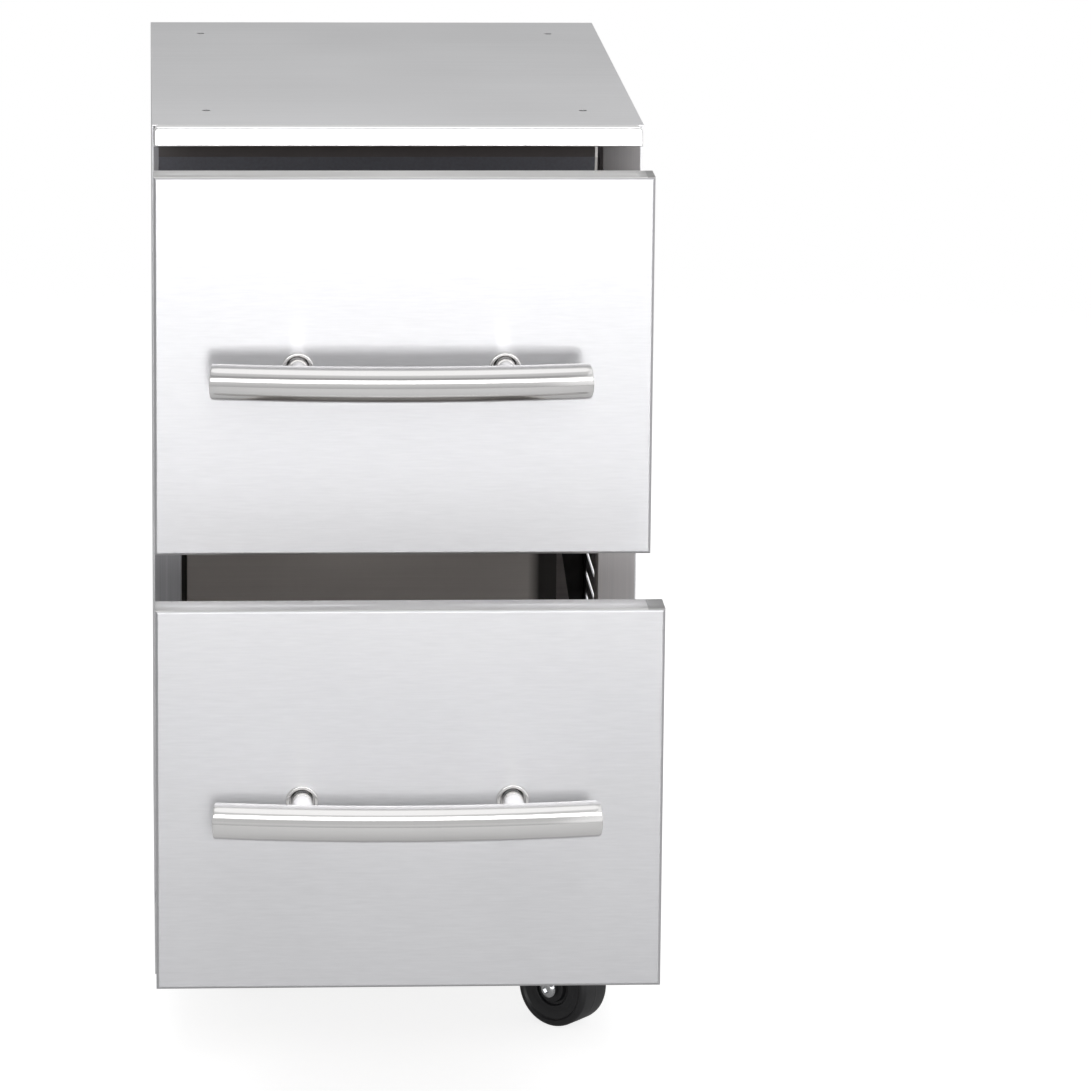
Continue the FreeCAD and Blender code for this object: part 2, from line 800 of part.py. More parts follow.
def wheel():
    """Solid wheel with rounded shoulders, a shallow dished face and a ring groove on each side."""
    half = wheel_width / 2
    face = half - wheel_face_recess
    groove = face - wheel_groove_depth
    bore = axle_radius + running_gap
    rim_outer = wheel_rim_inner + wheel_face_recess
    shoulder = wheel_shoulder * (1 - math.sqrt(0.5))
    side_lines = [
        Part.LineSegment(vector(bore, half, 0), vector(wheel_groove_inner, half, 0)),
        Part.LineSegment(vector(wheel_groove_inner, half, 0), vector(wheel_groove_inner, groove, 0)),
        Part.LineSegment(vector(wheel_groove_inner, groove, 0), vector(wheel_groove_outer, groove, 0)),
        Part.LineSegment(vector(wheel_groove_outer, groove, 0), vector(wheel_groove_outer, face, 0)),
        Part.LineSegment(vector(wheel_groove_outer, face, 0), vector(wheel_rim_inner, face, 0)),
        Part.LineSegment(vector(wheel_rim_inner, face, 0), vector(rim_outer, half, 0)),
        Part.LineSegment(vector(rim_outer, half, 0), vector(wheel_radius - wheel_shoulder, half, 0)),
        Part.Arc(vector(wheel_radius - wheel_shoulder, half, 0),
                 vector(wheel_radius - shoulder, half - shoulder, 0),
                 vector(wheel_radius, half - wheel_shoulder, 0)),
    ]
    one_side = [line.toShape() for line in side_lines]
    other_side = [edge.mirror(vector(0, 0, 0), vector(0, 1, 0)) for edge in one_side]
    tread = Part.LineSegment(vector(wheel_radius, half - wheel_shoulder, 0),
                             vector(wheel_radius, wheel_shoulder - half, 0)).toShape()
    bore_line = Part.LineSegment(vector(bore, -half, 0), vector(bore, half, 0)).toShape()
    outline = Part.Wire(Part.__sortEdges__(one_side + [tread] + other_side + [bore_line]))
    body = Part.Face(outline).revolve(vector(0, 0, 0), vector(0, 1, 0), 360)
    body.translate(vector(caster_trail, 0, wheel_radius))
    return body


def axle():
    """Axle bolt with a domed head on one cheek and a nut on the other."""
    half = fork_gap / 2 + fork_sheet
    head_radius = 5.5
    head_height = 2.5
    head_round = 1.2
    nut_corner_radius = 6.4
    nut_height = 4.0
    low = vector(caster_trail, -half - head_height, wheel_radius)
    along = vector(0, 1, 0)
    shank = Part.makeCylinder(axle_radius, 2 * half, vector(caster_trail, -half, wheel_radius), along)
    head = Part.makeCylinder(head_radius, head_height, low, along)
    rim = [edge for edge in head.Edges if edge.BoundBox.YMax < low.y + 0.1 and edge.BoundBox.XLength > 1]
    head = head.makeFillet(head_round, rim)
    nut = hexagon(0, 0, 0, nut_corner_radius, nut_height)
    nut.rotate(vector(0, 0, 0), vector(1, 0, 0), -90)
    nut.translate(vector(caster_trail, half, wheel_radius))
    return joined([shank, head, nut])


def save_casters():
    parts = {"fork": fork(), "wheel": wheel(), "axle": axle()}
    for place, (x, y, angle) in casters.items():
        for name, shape in parts.items():
            turned = shape.copy()
            turned.rotate(vector(0, 0, 0), vector(0, 0, 1), angle)
            turned.translate(vector(x, y, 0))
            save("caster_" + name + "_" + place, turned)


def cabinet_rivets():
    """Rivets through the side panels: domed on the right, flush on the left, where a neighbour stands."""
    rivets = []
    for y, z in rivet_places():
        head = rod(half_width, y, z, rivet_head_radius, rivet_head_height, vector(1, 0, 0))
        shank = rod(half_width - 2 * sheet, y, z, rivet_radius, 2 * sheet, vector(1, 0, 0))
        rivets.append(joined([head, shank]))
        rivets.append(mirrored(shank))
    return group(rivets)


def front_bumpers():
    """Pads on the stiles that the corners of the closed fronts meet."""
    pads = []
    left_x = -half_width + stile_left_width / 2
    right_x = half_width - stile_right_width / 2
    y = frame_y - bumper_height
    for front_z in (lower_front_z, upper_front_z):
        for z in (front_z + bumper_low_inset, front_z + front_height - bumper_top_inset):
            for x in (left_x, right_x):
                pads.append(rod(x, y, z, bumper_radius, bumper_height, vector(0, 1, 0)))
    return group(pads)


def save_cabinet():
    save("side_panel_left", side_panel_left())
    save("side_panel_right", side_panel_right())
    save("back_panel", back_panel())
    save("bottom_panel", bottom_panel())
    save("top_panel", top_panel())
    save("top_rail", top_rail())
    save("stile_left", stile_left())
    save("stile_right", stile_right())
    save("cross_channel", cross_channel())
    save("plinth_front", plinth_front())
    save("slide_brackets", slide_brackets())
    save("rear_corner_angles", rear_corner_angles())
    save("caster_plates", caster_plates())
    save("caster_bolts", caster_bolts())
    save("cabinet_rivets", cabinet_rivets())
    save("front_bumpers", front_bumpers())


save_cabinet()
save_slides("upper", upper_front_z, upper_open)
save_slides("lower", lower_front_z, lower_open)
save_drawer("upper", upper_front_z, upper_open)
save_drawer("lower", lower_front_z, lower_open)
save_casters()
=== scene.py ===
import json
import math
import bmesh
import bpy
import numpy as np
from mathutils import Matrix, Vector

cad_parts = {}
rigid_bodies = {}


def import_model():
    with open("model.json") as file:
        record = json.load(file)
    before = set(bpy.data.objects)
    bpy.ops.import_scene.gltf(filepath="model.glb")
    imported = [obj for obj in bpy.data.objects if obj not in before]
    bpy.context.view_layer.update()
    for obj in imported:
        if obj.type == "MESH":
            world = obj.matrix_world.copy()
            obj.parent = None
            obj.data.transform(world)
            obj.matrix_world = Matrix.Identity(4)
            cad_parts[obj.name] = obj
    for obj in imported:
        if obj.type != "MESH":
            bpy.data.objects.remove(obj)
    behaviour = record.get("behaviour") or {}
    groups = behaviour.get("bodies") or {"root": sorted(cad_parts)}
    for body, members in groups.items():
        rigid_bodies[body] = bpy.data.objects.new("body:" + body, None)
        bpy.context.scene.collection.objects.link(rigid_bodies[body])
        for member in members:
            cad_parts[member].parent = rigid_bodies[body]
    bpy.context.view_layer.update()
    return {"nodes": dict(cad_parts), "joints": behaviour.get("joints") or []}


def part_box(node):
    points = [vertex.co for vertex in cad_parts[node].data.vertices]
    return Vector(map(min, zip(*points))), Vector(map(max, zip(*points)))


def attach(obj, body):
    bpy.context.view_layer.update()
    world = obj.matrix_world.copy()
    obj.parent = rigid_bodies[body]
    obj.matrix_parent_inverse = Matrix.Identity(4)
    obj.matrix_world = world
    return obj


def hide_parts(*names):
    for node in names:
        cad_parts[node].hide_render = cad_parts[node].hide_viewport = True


# Outdoor kitchen drawer unit: brushed steel fronts, bright handles, black casters.
# Metres, +Z up, fronts towards -Y.

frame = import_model()
print("frame loaded with", len(frame["nodes"]), "nodes")

mm = 0.001


# Shader maths

class Wire:  # a node socket that can stand in a sum with numbers and other wires
    def __init__(self, paint, socket):
        self.paint = paint
        self.socket = socket

    def maths(self, operation, first, second=0.0):
        return self.paint.node("ShaderNodeMath", {"operation": operation}, {0: first, 1: second})

    def __add__(self, other):
        return self.maths("ADD", self, other)

    __radd__ = __add__

    def __sub__(self, other):
        return self.maths("SUBTRACT", self, other)

    def __rsub__(self, other):
        return self.maths("SUBTRACT", other, self)

    def __mul__(self, other):
        return self.maths("MULTIPLY", self, other)

    def __gt__(self, other):
        return self.maths("GREATER_THAN", self, other)

    def __abs__(self):
        return self.maths("ABSOLUTE", self)

    def other(self, output):  # another output of the same node
        return Wire(self.paint, self.socket.node.outputs[output])


class Paint:  # one node tree, of a material or of the world
    def __init__(self, tree):
        self.tree = tree
        self.tree.nodes.clear()

    def node(self, kind, settings, inputs, output=0):
        made = self.tree.nodes.new(kind)
        for key, value in settings.items():
            setattr(made, key, value)
        for key, value in inputs.items():
            if isinstance(value, Wire):
                self.tree.links.new(value.socket, made.inputs[key])
            else:
                made.inputs[key].default_value = value
        return Wire(self, made.outputs[output]) if len(made.outputs) else made

    def ramp(self, value, stops):  # a grey ramp from (place, grey) pairs
        made = self.node("ShaderNodeValToRGB", {}, {"Fac": value}, "Color")
        points = made.socket.node.color_ramp.elements
        while len(points) < len(stops):
            points.new(0.5)
        for point, (place, shade) in zip(points, stops):
            point.position = place
            point.color = rgba((shade, shade, shade))
        return made

    def blend(self, factor, first, second):  # colours by a factor
        return self.node("ShaderNodeMix", {"data_type": "RGBA"}, {0: factor, 6: first, 7: second}, 2)

    def noise(self, vector, scale, detail=2.0, roughness=0.5):
        return self.node("ShaderNodeTexNoise", {}, {"Vector": vector, "Scale": scale, "Detail": detail,
                                                    "Roughness": roughness})

    def tones(self, share, look):  # between the look's dark and light colour
        return self.blend(share, rgba(look["dark"]), rgba(look["light"]))

    def spread(self, value, start, end):  # a value between two numbers, as 0 to 1
        return self.node("ShaderNodeMapRange", {}, {"Value": value, "From Min": start, "From Max": end})

    def darken(self, colour, share):
        return self.blend(share, colour, rgba((0, 0, 0)))

    def vector(self, x, y, z):
        return self.node("ShaderNodeCombineXYZ", {}, {0: x, 1: y, 2: z})

    def place(self):  # object coordinates, in metres
        return self.node("ShaderNodeTexCoord", {}, {}, "Object")

    def axes(self, vector):
        x = self.node("ShaderNodeSeparateXYZ", {}, {0: vector})
        return x, x.other(1), x.other(2)


def rgba(colour):
    return tuple(colour) + (1.0,)


white = rgba((1.0, 1.0, 1.0))


def newMaterial(name):
    material = bpy.data.materials.new(name)
    material.use_nodes = True
    return material, Paint(material.node_tree)


def finishMaterial(paint, look, colour, metal, rough, grain, others=()):  # the bump follows the grain
    bump = paint.node("ShaderNodeBump", {}, {"Strength": look["bump"], "Distance": look["bumpDepth"],
                                             "Height": grain})
    inputs = {"Base Color": colour, "Metallic": metal, "Roughness": rough, "Normal": bump}
    inputs.update(others)
    shader = paint.node("ShaderNodeBsdfPrincipled", {}, inputs)
    paint.node("ShaderNodeOutputMaterial", {}, {"Surface": shader})


# Brushed sheet: noise drawn out along one direction. Its lines lie level on upright faces and run across
# the unit on flat ones; with "upright" they stand. "dash" counts the strokes in a metre, "fine" and
# "coarse" the lines side by side and "cloud" the dull patches, and "share" is what each adds to the tone.
# The fronts stay rougher than 0.274 all over, because the denoiser blotches a sheet that crosses it.

plainSheet = {"rough": 0.33, "lineRough": 0.04, "cloudRough": 0.06, "bump": 0.08, "bumpDepth": 0.0002,
              "anisotropic": 0.0, "turn": 0.25, "upright": False, "metal": 1.0, "dash": 7.0, "fine": 1500.0,
              "coarse": 240.0, "cloud": 7.0, "share": (0.55, 0.25, 0.20), "flatFrom": 0.7}

brushedFinishes = {
    # painted light and shade: the fronts' level edges are lighter on the upper front, darker on the lower
    # and darker still over the corner tabs
    "brushedFront": {"light": (0.60, 0.60, 0.615), "dark": (0.55, 0.55, 0.565), "rough": 0.268,
                     "lineRough": 0.01, "cloudRough": 0.02, "bump": 0.012, "anisotropic": 0.97,
                     "dash": 55.0, "fine": 620.0, "edge": (0.465, 0.57), "edgeTint": (1.0, 0.99, 0.985),
                     "between": 0.55, "tab": (0.1865, 0.1795), "tabTone": 0.62},
    "brushedPanel": {"light": (0.66, 0.66, 0.675), "dark": (0.56, 0.56, 0.575), "rough": 0.31, "bump": 0.10,
                     "anisotropic": 0.6},
    "brushedTop": {"light": (0.66, 0.66, 0.67), "dark": (0.58, 0.58, 0.59)},
    # painted shade: the stiles are painted darker towards their tops
    "brushedStile": {"light": (0.47, 0.45, 0.45), "dark": (0.39, 0.38, 0.385), "bump": 0.10, "upright": True,
                     "shade": (0.60, 0.70, 0.45)},
    # the left stile's finish: a darker copy of the right one, painted shade
    "dimStile": {"light": (0.28, 0.28, 0.29), "dark": (0.21, 0.21, 0.22), "bump": 0.10, "upright": True,
                 "shade": (0.60, 0.70, 0.80)},
    "innerSteel": {"light": (0.78, 0.75, 0.73), "dark": (0.70, 0.67, 0.65), "rough": 0.39, "metal": 0.45},
    # painted shadow on the back panel, beside its pressed pan
    "backSteel": {"light": (0.84, 0.79, 0.76), "dark": (0.76, 0.71, 0.68), "rough": 0.45, "metal": 0.25,
                  "seams": (-0.1625, 0.1410), "fade": 0.010, "seamShade": 0.93},
    # painted shadow on the corner angles, to the right of a leaning line
    "cornerSteel": {"light": (0.40, 0.37, 0.37), "dark": (0.30, 0.28, 0.28), "rough": 0.40, "metal": 0.4,
                    "slant": (0.1745, 0.257, 0.16), "slantShade": 0.95},
    "polishedRail": {"light": (0.90, 0.90, 0.90), "dark": (0.86, 0.86, 0.86), "rough": 0.25, "bump": 0.03},
}

noiseSpan = (0.3, 0.7)  # between these lies nearly all of a noise


def paintedFrontEdges(paint, look, colour, flat, x, z):
    # painted light and shade on the level folded edges of the upper and the lower front: a lighter tone on
    # the upper, a darker one on the lower, and the welded corner tab beyond "tab" painted darker still
    isUpper = z > look["between"]
    upper, lower = (rgba([edge * tint for tint in look["edgeTint"]]) for edge in look["edge"])
    paintedEdgeTone = paint.blend(isUpper, lower, upper)
    upperTab, lowerTab = look["tab"]
    tab = (x - isUpper * (upperTab - lowerTab) > lowerTab) * (1 - look["tabTone"])
    return paint.blend(flat, colour, paint.darken(paintedEdgeTone, tab))


def panPaintedShadow(paint, look, colour, inwards, x):
    # painted shadow: the sheet is painted dark beside its pressed pan, on the side that looks into the
    # cabinet
    left, right = look["seams"]
    shadowed = paint.spread(x, right, right + look["fade"]) + (left - x > 0.0)
    return paint.darken(colour, shadowed * (inwards > 0.5) * look["seamShade"])


def leaningPaintedShadow(paint, look, colour, x, z):
    # painted shadow: dark to the right of a line given by its place across the unit, its height there and
    # its lean
    edge, middle, lean = look["slant"]
    return paint.darken(colour, (x + (z - middle) * lean > edge) * look["slantShade"])


def paintedHeadShade(paint, look, colour, z):  # painted shade: darker from one height up to another, down to a share of its tone
    foot, head, share = look["shade"]
    return paint.darken(colour, paint.spread(z, foot, head) * (1 - share))


def brushedSteel(name):
    look = {**plainSheet, **brushedFinishes[name]}
    material, paint = newMaterial(name)
    x, y, z = paint.axes(paint.place())
    facing = paint.axes(paint.node("ShaderNodeNewGeometry", {}, {}, "Normal"))
    flat = abs(facing[2]) > look["flatFrom"]
    level = x + y * (1 - flat)
    height = z * (1 - flat) + y * flat
    along, across = (height, level) if look["upright"] else (level, height)
    lines = paint.noise(paint.vector(along * look["dash"], across * look["fine"], 0.0), 1.0)
    streaks = paint.noise(paint.vector(along * (look["dash"] / 2), across * look["coarse"], 4.0), 1.0, 1.0)
    clouds = paint.noise(paint.vector(along, across, 9.0), look["cloud"], 3.0, 0.55)
    ofLines, ofStreaks, ofClouds = look["share"]
    tone = paint.spread(lines * ofLines + streaks * ofStreaks + clouds * ofClouds, *noiseSpan)
    colour = paint.tones(tone, look)
    if "edge" in look:
        colour = paintedFrontEdges(paint, look, colour, flat, x, z)
    if "seams" in look:
        colour = panPaintedShadow(paint, look, colour, 0.0 - facing[1], x)
    if "slant" in look:
        colour = leaningPaintedShadow(paint, look, colour, x, z)
    if "shade" in look:
        colour = paintedHeadShade(paint, look, colour, z)
    rough = look["rough"] + lines * look["lineRough"] + clouds * look["cloudRough"]
    finishMaterial(paint, look, colour, look["metal"], rough, lines,
                   {"Anisotropic": look["anisotropic"], "Anisotropic Rotation": look["turn"]})
    return material


# Bright turned handle: faint rings round the bar

handleLook = {"light": (0.93, 0.92, 0.915), "dark": (0.87, 0.86, 0.855), "rough": 0.10, "ringRough": 0.05,
              "cloudRough": 0.02, "rings": 1300.0, "around": 9.0, "cloud": 18.0, "share": (0.6, 0.4),
              "bump": 0.05, "bumpDepth": 0.0001}


def brightHandle():
    look = handleLook
    material, paint = newMaterial("polishedHandle")
    x, y, z = paint.axes(paint.place())
    drawnRound = paint.vector(x * look["rings"], y * look["around"], z * look["around"])
    rings = paint.noise(drawnRound, 1.0, 2.0, 0.6)
    clouds = paint.noise(paint.place(), look["cloud"], 3.0)
    ofRings, ofClouds = look["share"]
    colour = paint.tones(rings * ofRings + clouds * ofClouds, look)
    rough = look["rough"] + rings * look["ringRough"] + clouds * look["cloudRough"]
    finishMaterial(paint, look, colour, 1.0, rough, rings)
    return material


# Zinc plate: a little spangle and dulled patches

zincFinishes = {
    "slideZinc": {"light": (0.66, 0.67, 0.69), "dark": (0.52, 0.53, 0.55), "rough": 0.28, "scale": 55.0},
    "zincPlate": {"light": (0.78, 0.79, 0.80), "dark": (0.62, 0.63, 0.65), "rough": 0.16, "scale": 90.0},
    "rivetSteel": {"light": (0.74, 0.74, 0.75), "dark": (0.62, 0.62, 0.63), "rough": 0.24, "scale": 140.0},
}
zincGrain = {"finer": 12.0, "share": (0.7, 0.3), "patchRough": 0.12, "bump": 0.15, "bumpDepth": 0.0001}


def zincPlate(name):
    look = {**zincGrain, **zincFinishes[name]}
    material, paint = newMaterial(name)
    place = paint.place()
    patches = paint.noise(place, look["scale"], 4.0, 0.6)
    fine = paint.noise(place, look["scale"] * look["finer"])
    ofPatches, ofFine = look["share"]
    tone = paint.spread(patches * ofPatches + fine * ofFine, *noiseSpan)
    colour = paint.tones(tone, look)
    rough = look["rough"] + patches * look["patchRough"]
    finishMaterial(paint, look, colour, 1.0, rough, fine)
    return material


# Painted, moulded and rubber surfaces: fine texture and worn patches. Beyond "hem" the dark channel is bare
# metal, and below "foldAt" its slanted leg is painted a little bluer and paler: painted light.

mouldedGrain = {"cloud": 30.0, "share": (0.7, 0.3), "cloudRough": 0.16, "bumpDepth": 0.0001}
mouldedFinishes = {
    # painted light: the channel's slanted leg is painted paler and bluer
    "darkChannel": {"light": (0.062, 0.050, 0.049), "dark": (0.036, 0.030, 0.030), "rough": 0.34,
                    "scale": 420.0, "bump": 0.10, "hem": 0.1562, "hemTone": (0.95, 0.94, 0.92),
                    "foldAt": 0.7225, "legTone": (0.105, 0.110, 0.130), "legShare": (0.55, 0.5)},
    "casterBlack": {"light": (0.024, 0.024, 0.026), "dark": (0.010, 0.010, 0.011), "rough": 0.34,
                    "scale": 1400.0, "bump": 0.12},
    "bumperRubber": {"light": (0.060, 0.060, 0.060), "dark": (0.035, 0.035, 0.035), "rough": 0.67,
                     "scale": 2000.0, "bump": 0.25},
}


def channelZones(paint, look, colour, place, fine):  # the new colour, with painted light on the slanted leg, and where the metal is bare
    x, y, z = paint.axes(place)
    plain, speckled = look["legShare"]
    leg = (look["foldAt"] - z > 0.0) * (plain + fine * speckled)
    colour = paint.blend(leg, colour, rgba(look["legTone"]))
    bare = x > look["hem"]
    return paint.blend(bare, colour, rgba(look["hemTone"])), bare


def moulded(name):
    look = {**mouldedGrain, **mouldedFinishes[name]}
    material, paint = newMaterial(name)
    place = paint.place()
    fine = paint.noise(place, look["scale"])
    clouds = paint.noise(place, look["cloud"], 4.0, 0.6)
    ofClouds, ofFine = look["share"]
    colour = paint.tones(clouds * ofClouds + fine * ofFine, look)
    bare = 0.0
    if "hem" in look:
        colour, bare = channelZones(paint, look, colour, place, fine)
    rough = look["rough"] + clouds * look["cloudRough"]
    finishMaterial(paint, look, colour, bare, rough, fine)
    return material


finishes = {name: brushedSteel(name) for name in brushedFinishes}
finishes.update({name: zincPlate(name) for name in zincFinishes})
finishes.update({name: moulded(name) for name in mouldedFinishes})
finishes["polishedHandle"] = brightHandle()
print("finishes made:", len(finishes))


# Which kept parts each finish goes on, by what their names hold

partFinishes = {
    "brushedFront": ("front_skin",),
    "brushedPanel": ("side_panel", "plinth_front"),
    "brushedTop": ("top_panel",),
    "brushedStile": ("stile_right",),
    # the left stile takes the darker copy: painted shade
    "dimStile": ("stile_left",),
    "innerSteel": ("bottom_panel", "slide_brackets", "front_liner", "box_side", "box_back", "box_bottom"),
    "backSteel": ("back_panel",),
    "cornerSteel": ("rear_corner_angles",),
    "polishedRail": ("top_rail",),
    "polishedHandle": ("handle_tube", "handle_posts", "handle_rosettes"),
    "slideZinc": ("slide_outer", "slide_middle", "slide_inner"),
    "zincPlate": ("caster_plates", "caster_bolts", "caster_fork", "caster_axle", "handle_screws"),
    "rivetSteel": ("cabinet_rivets",),
    "darkChannel": ("cross_channel",),
    "casterBlack": ("caster_wheel",),
    "bumperRubber": ("front_bumpers",),
}


def finishOf(node):
    for finish, parts in partFinishes.items():
        if any(part in node for part in parts):
            return finishes[finish]
    raise ValueError("no finish for " + node)


for node, part in frame["nodes"].items():
    part.data.materials.clear()
    part.data.materials.append(finishOf(node))
print("kept parts dressed")


# Shapes. Every shape is worked out in millimetres as a grid of places, and a piece is a list of
# such shells, each one a pair: places, and faces as rows of place numbers.

def lengthOne(vector):
    return np.asarray(vector, float) / np.linalg.norm(vector)


def squareTo(along):  # a direction and two more, all at right angles
    along = lengthOne(along)
    guide = np.array((0.0, 0.0, 1.0)) if abs(along[2]) < 0.9 else np.array((1.0, 0.0, 0.0))
    side = lengthOne(np.cross(guide, along))
    return along, side, np.cross(along, side)


def grid(places, closedRows=False, closedColumns=False):  # neighbours on the grid make four-cornered faces
    rows, columns = places.shape[:2]
    numbers = np.arange(rows * columns).reshape(rows, columns)
    if closedRows:
        numbers = np.vstack((numbers, numbers[:1]))
    if closedColumns:
        numbers = np.hstack((numbers, numbers[:, :1]))
    faces = np.stack((numbers[:-1, :-1], numbers[1:, :-1], numbers[1:, 1:], numbers[:-1, 1:]), axis=-1)
    return places.reshape(-1, 3), faces.reshape(-1, 4)


def lid(ring):  # one flat face inside a ring of places
    return ring, np.arange(len(ring))[None, :]


def rectangle(left, foot, right, top):
    return [(left, foot), (right, foot), (right, top), (left, top)]


def rounded(corners, radii, steps=5, closed=True):
    # an outline with an arc at each corner: the arc's centre lies on the corner's middle line, and
    # its places turn evenly from one side to the other
    corners = np.asarray(corners, float)
    radii = np.broadcast_to(np.asarray(radii, float), len(corners))
    pieces = []
    for number, corner in enumerate(corners):
        isEnd = not closed and number in (0, len(corners) - 1)
        if isEnd or radii[number] <= 0:
            pieces.append(corner[None])
            continue
        toLast = lengthOne(corners[number - 1] - corner)
        toNext = lengthOne(corners[(number + 1) % len(corners)] - corner)
        half = 0.5 * math.acos(float(np.clip(toLast @ toNext, -1.0, 1.0)))
        centre = corner + lengthOne(toLast + toNext) * radii[number] / math.sin(half)
        reach = radii[number] / math.tan(half)
        start = corner + toLast * reach - centre
        end = corner + toNext * reach - centre
        turn = math.pi - 2 * half
        part = np.linspace(0.0, 1.0, steps + 1)[:, None]
        arc = np.sin((1 - part) * turn) * start + np.sin(part * turn) * end
        pieces.append(centre + arc / math.sin(turn))
    return np.concatenate(pieces)


def turned(outline, centre, along, steps=48, closed=False, hexRows=()):
    # a profile of radius and height turned round a line: centre + height along it + radius round it.
    # In the rows named by hexRows the radius follows a hexagon instead of a circle.
    outline = np.asarray(outline, float)
    along, side, other = squareTo(along)
    angles = np.linspace(0.0, 2 * math.pi, steps, endpoint=False)
    sixth = math.pi / 3
    hexagon = math.cos(sixth / 2) / np.cos(angles % sixth - sixth / 2)
    radii = np.repeat(outline[:, :1], steps, axis=1)
    rows = list(hexRows)
    radii[rows] = radii[rows] * hexagon
    ring = np.cos(angles)[:, None] * side + np.sin(angles)[:, None] * other
    places = np.asarray(centre, float) + outline[:, 1, None, None] * along + radii[:, :, None] * ring[None]
    return grid(places, closedRows=closed, closedColumns=True)


def drawnOut(outline, start, end, side, up):
    # an outline carried straight from one place to another, with a lid at each: place + first value
    # along the side + second value upwards
    outline, side, up = (np.asarray(values, float) for values in (outline, side, up))
    rings = np.array((start, end), float)[:, None] + outline[:, :1] * side + outline[:, 1:] * up
    return [grid(rings, closedColumns=True), lid(rings[0]), lid(rings[1])]


def sheetOutline(line, thickness):
    # the outline of a bent sheet: its middle line moved by half the sheet each way
    line = np.asarray(line, float)
    along = np.gradient(line, axis=0)
    along = along / np.linalg.norm(along, axis=1)[:, None]
    normal = np.stack((-along[:, 1], along[:, 0]), axis=1) * thickness / 2
    return np.concatenate((line + normal, (line - normal)[::-1]))


def inScene(name, data):  # a new object that holds the data
    made = bpy.data.objects.new(name, data)
    bpy.context.scene.collection.objects.link(made)
    return made


def makePiece(name, shells, body, finish, replaced=(), sharpAngle=32.0):
    points = np.concatenate([places for places, faces in shells]) * mm
    faces = []
    start = 0
    for places, rows in shells:
        faces += (rows + start).tolist()
        start += len(places)
    mesh = bpy.data.meshes.new(name)
    mesh.from_pydata(points, [], faces)
    whole = bmesh.new()
    whole.from_mesh(mesh)
    bmesh.ops.remove_doubles(whole, verts=whole.verts, dist=0.002 * mm)
    bmesh.ops.dissolve_degenerate(whole, edges=whole.edges, dist=0.001 * mm)
    bmesh.ops.recalc_face_normals(whole, faces=whole.faces)
    whole.to_mesh(mesh)
    whole.free()
    mesh.shade_smooth()
    mesh.set_sharp_from_angle(angle=math.radians(sharpAngle))
    mesh.materials.append(finishes[finish])
    piece = inScene(name, mesh)
    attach(piece, body)
    if replaced:
        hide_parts(*replaced)
    return piece


def boxOf(node):  # a kept part's lowest and highest corner, in millimetres
    low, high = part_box(node)
    return np.array(low) / mm, np.array(high) / mm


acrossX = (1.0, 0.0, 0.0)
alongY = (0.0, 1.0, 0.0)
upZ = (0.0, 0.0, 1.0)
drawers = ("upper", "lower")


# Handles: a bowed bar with softened end edges on two posts, each in a ring

handle = {"length": 290.0, "radius": 13.8, "edge": 1.3, "bow": 800.0, "axisOut": 70.0, "spacing": 160.0,
          "postMiddle": -2.0, "barMiddle": -4.6, "postRadius": 8.4, "postFoot": 0.8, "ringBore": 9.6,
          "ringRadius": 12.5, "ringHeight": 4.0, "saddle": 4.0, "sheet": 1.0}


def bowedBar(middle):
    # the bar's axis is an arc of the bow's radius; round it stands a circle, whose radius follows
    # an outline that is flat at both ends and has a small arc at their edges
    length, radius, edge, bow = (handle[key] for key in ("length", "radius", "edge", "bow"))
    end = rounded([(0.0, 0.0), (0.0, radius), (2 * radius, radius)], edge, 5, closed=False)[:-1]
    stations = np.linspace(edge, length - edge, 72)[1:-1]
    shaft = np.column_stack((stations, np.full(len(stations), radius)))
    otherEnd = np.column_stack((length - end[::-1, 0], end[::-1, 1]))
    outline = np.concatenate((end, shaft, otherEnd))
    turn = (outline[:, 0] - length / 2) / bow
    outward = np.stack((np.sin(turn), -np.cos(turn), np.zeros(len(turn))), axis=1)
    centre = middle + np.array((handle["barMiddle"], -handle["axisOut"] + bow, 0.0))
    axis = centre + outward * bow
    angles = np.linspace(0.0, 2 * math.pi, 64, endpoint=False)[None, :, None]
    circle = np.cos(angles) * outward[:, None] + np.sin(angles) * np.array(upZ)
    rings = axis[:, None] + outline[:, 1, None, None] * circle
    return grid(rings, closedColumns=True)


def makeHandle(drawer):
    low, high = boxOf(drawer + "_front_skin")
    middle = np.array((0.0, low[1], (low[2] + high[2]) / 2))
    body = drawer + "_drawer"
    foot, radius = handle["postFoot"], handle["postRadius"]
    reach = handle["axisOut"] - handle["radius"] + handle["saddle"]
    post = [(0.0, 0.0), (radius + foot, 0.0), (radius, foot), (radius, reach), (0.0, reach)]
    bore, rim, height = (handle[key] for key in ("ringBore", "ringRadius", "ringHeight"))
    ring = rounded(rectangle(bore, 0.0, rim, height), [0.0, 0.2, 1.9, 0.7], 6)
    posts, rings, screws = [], [], []
    for side in (-0.5, 0.5):
        place = middle + np.array((handle["postMiddle"] + side * handle["spacing"], 0.0, 0.0))
        posts.append(turned(post, place, (0, -1, 0), 48))
        rings.append(turned(ring, place, (0, -1, 0), 64, closed=True))
        screws.append(socketScrew(place + handle["sheet"] * np.array(alongY), alongY))
    shining = {"_bar": ([bowedBar(middle)], "_handle_tube", 40.0),
               "_posts": (posts, "_handle_posts", 32.0),
               "_rosettes": (rings, "_handle_rosettes", 50.0)}
    for name, (shells, node, sharpAngle) in shining.items():
        makePiece(drawer + name, shells, body, "polishedHandle", (drawer + node,),
                  sharpAngle)
    makePiece(drawer + "_post_screws", screws, body, "zincPlate", (drawer + "_handle_screws",))


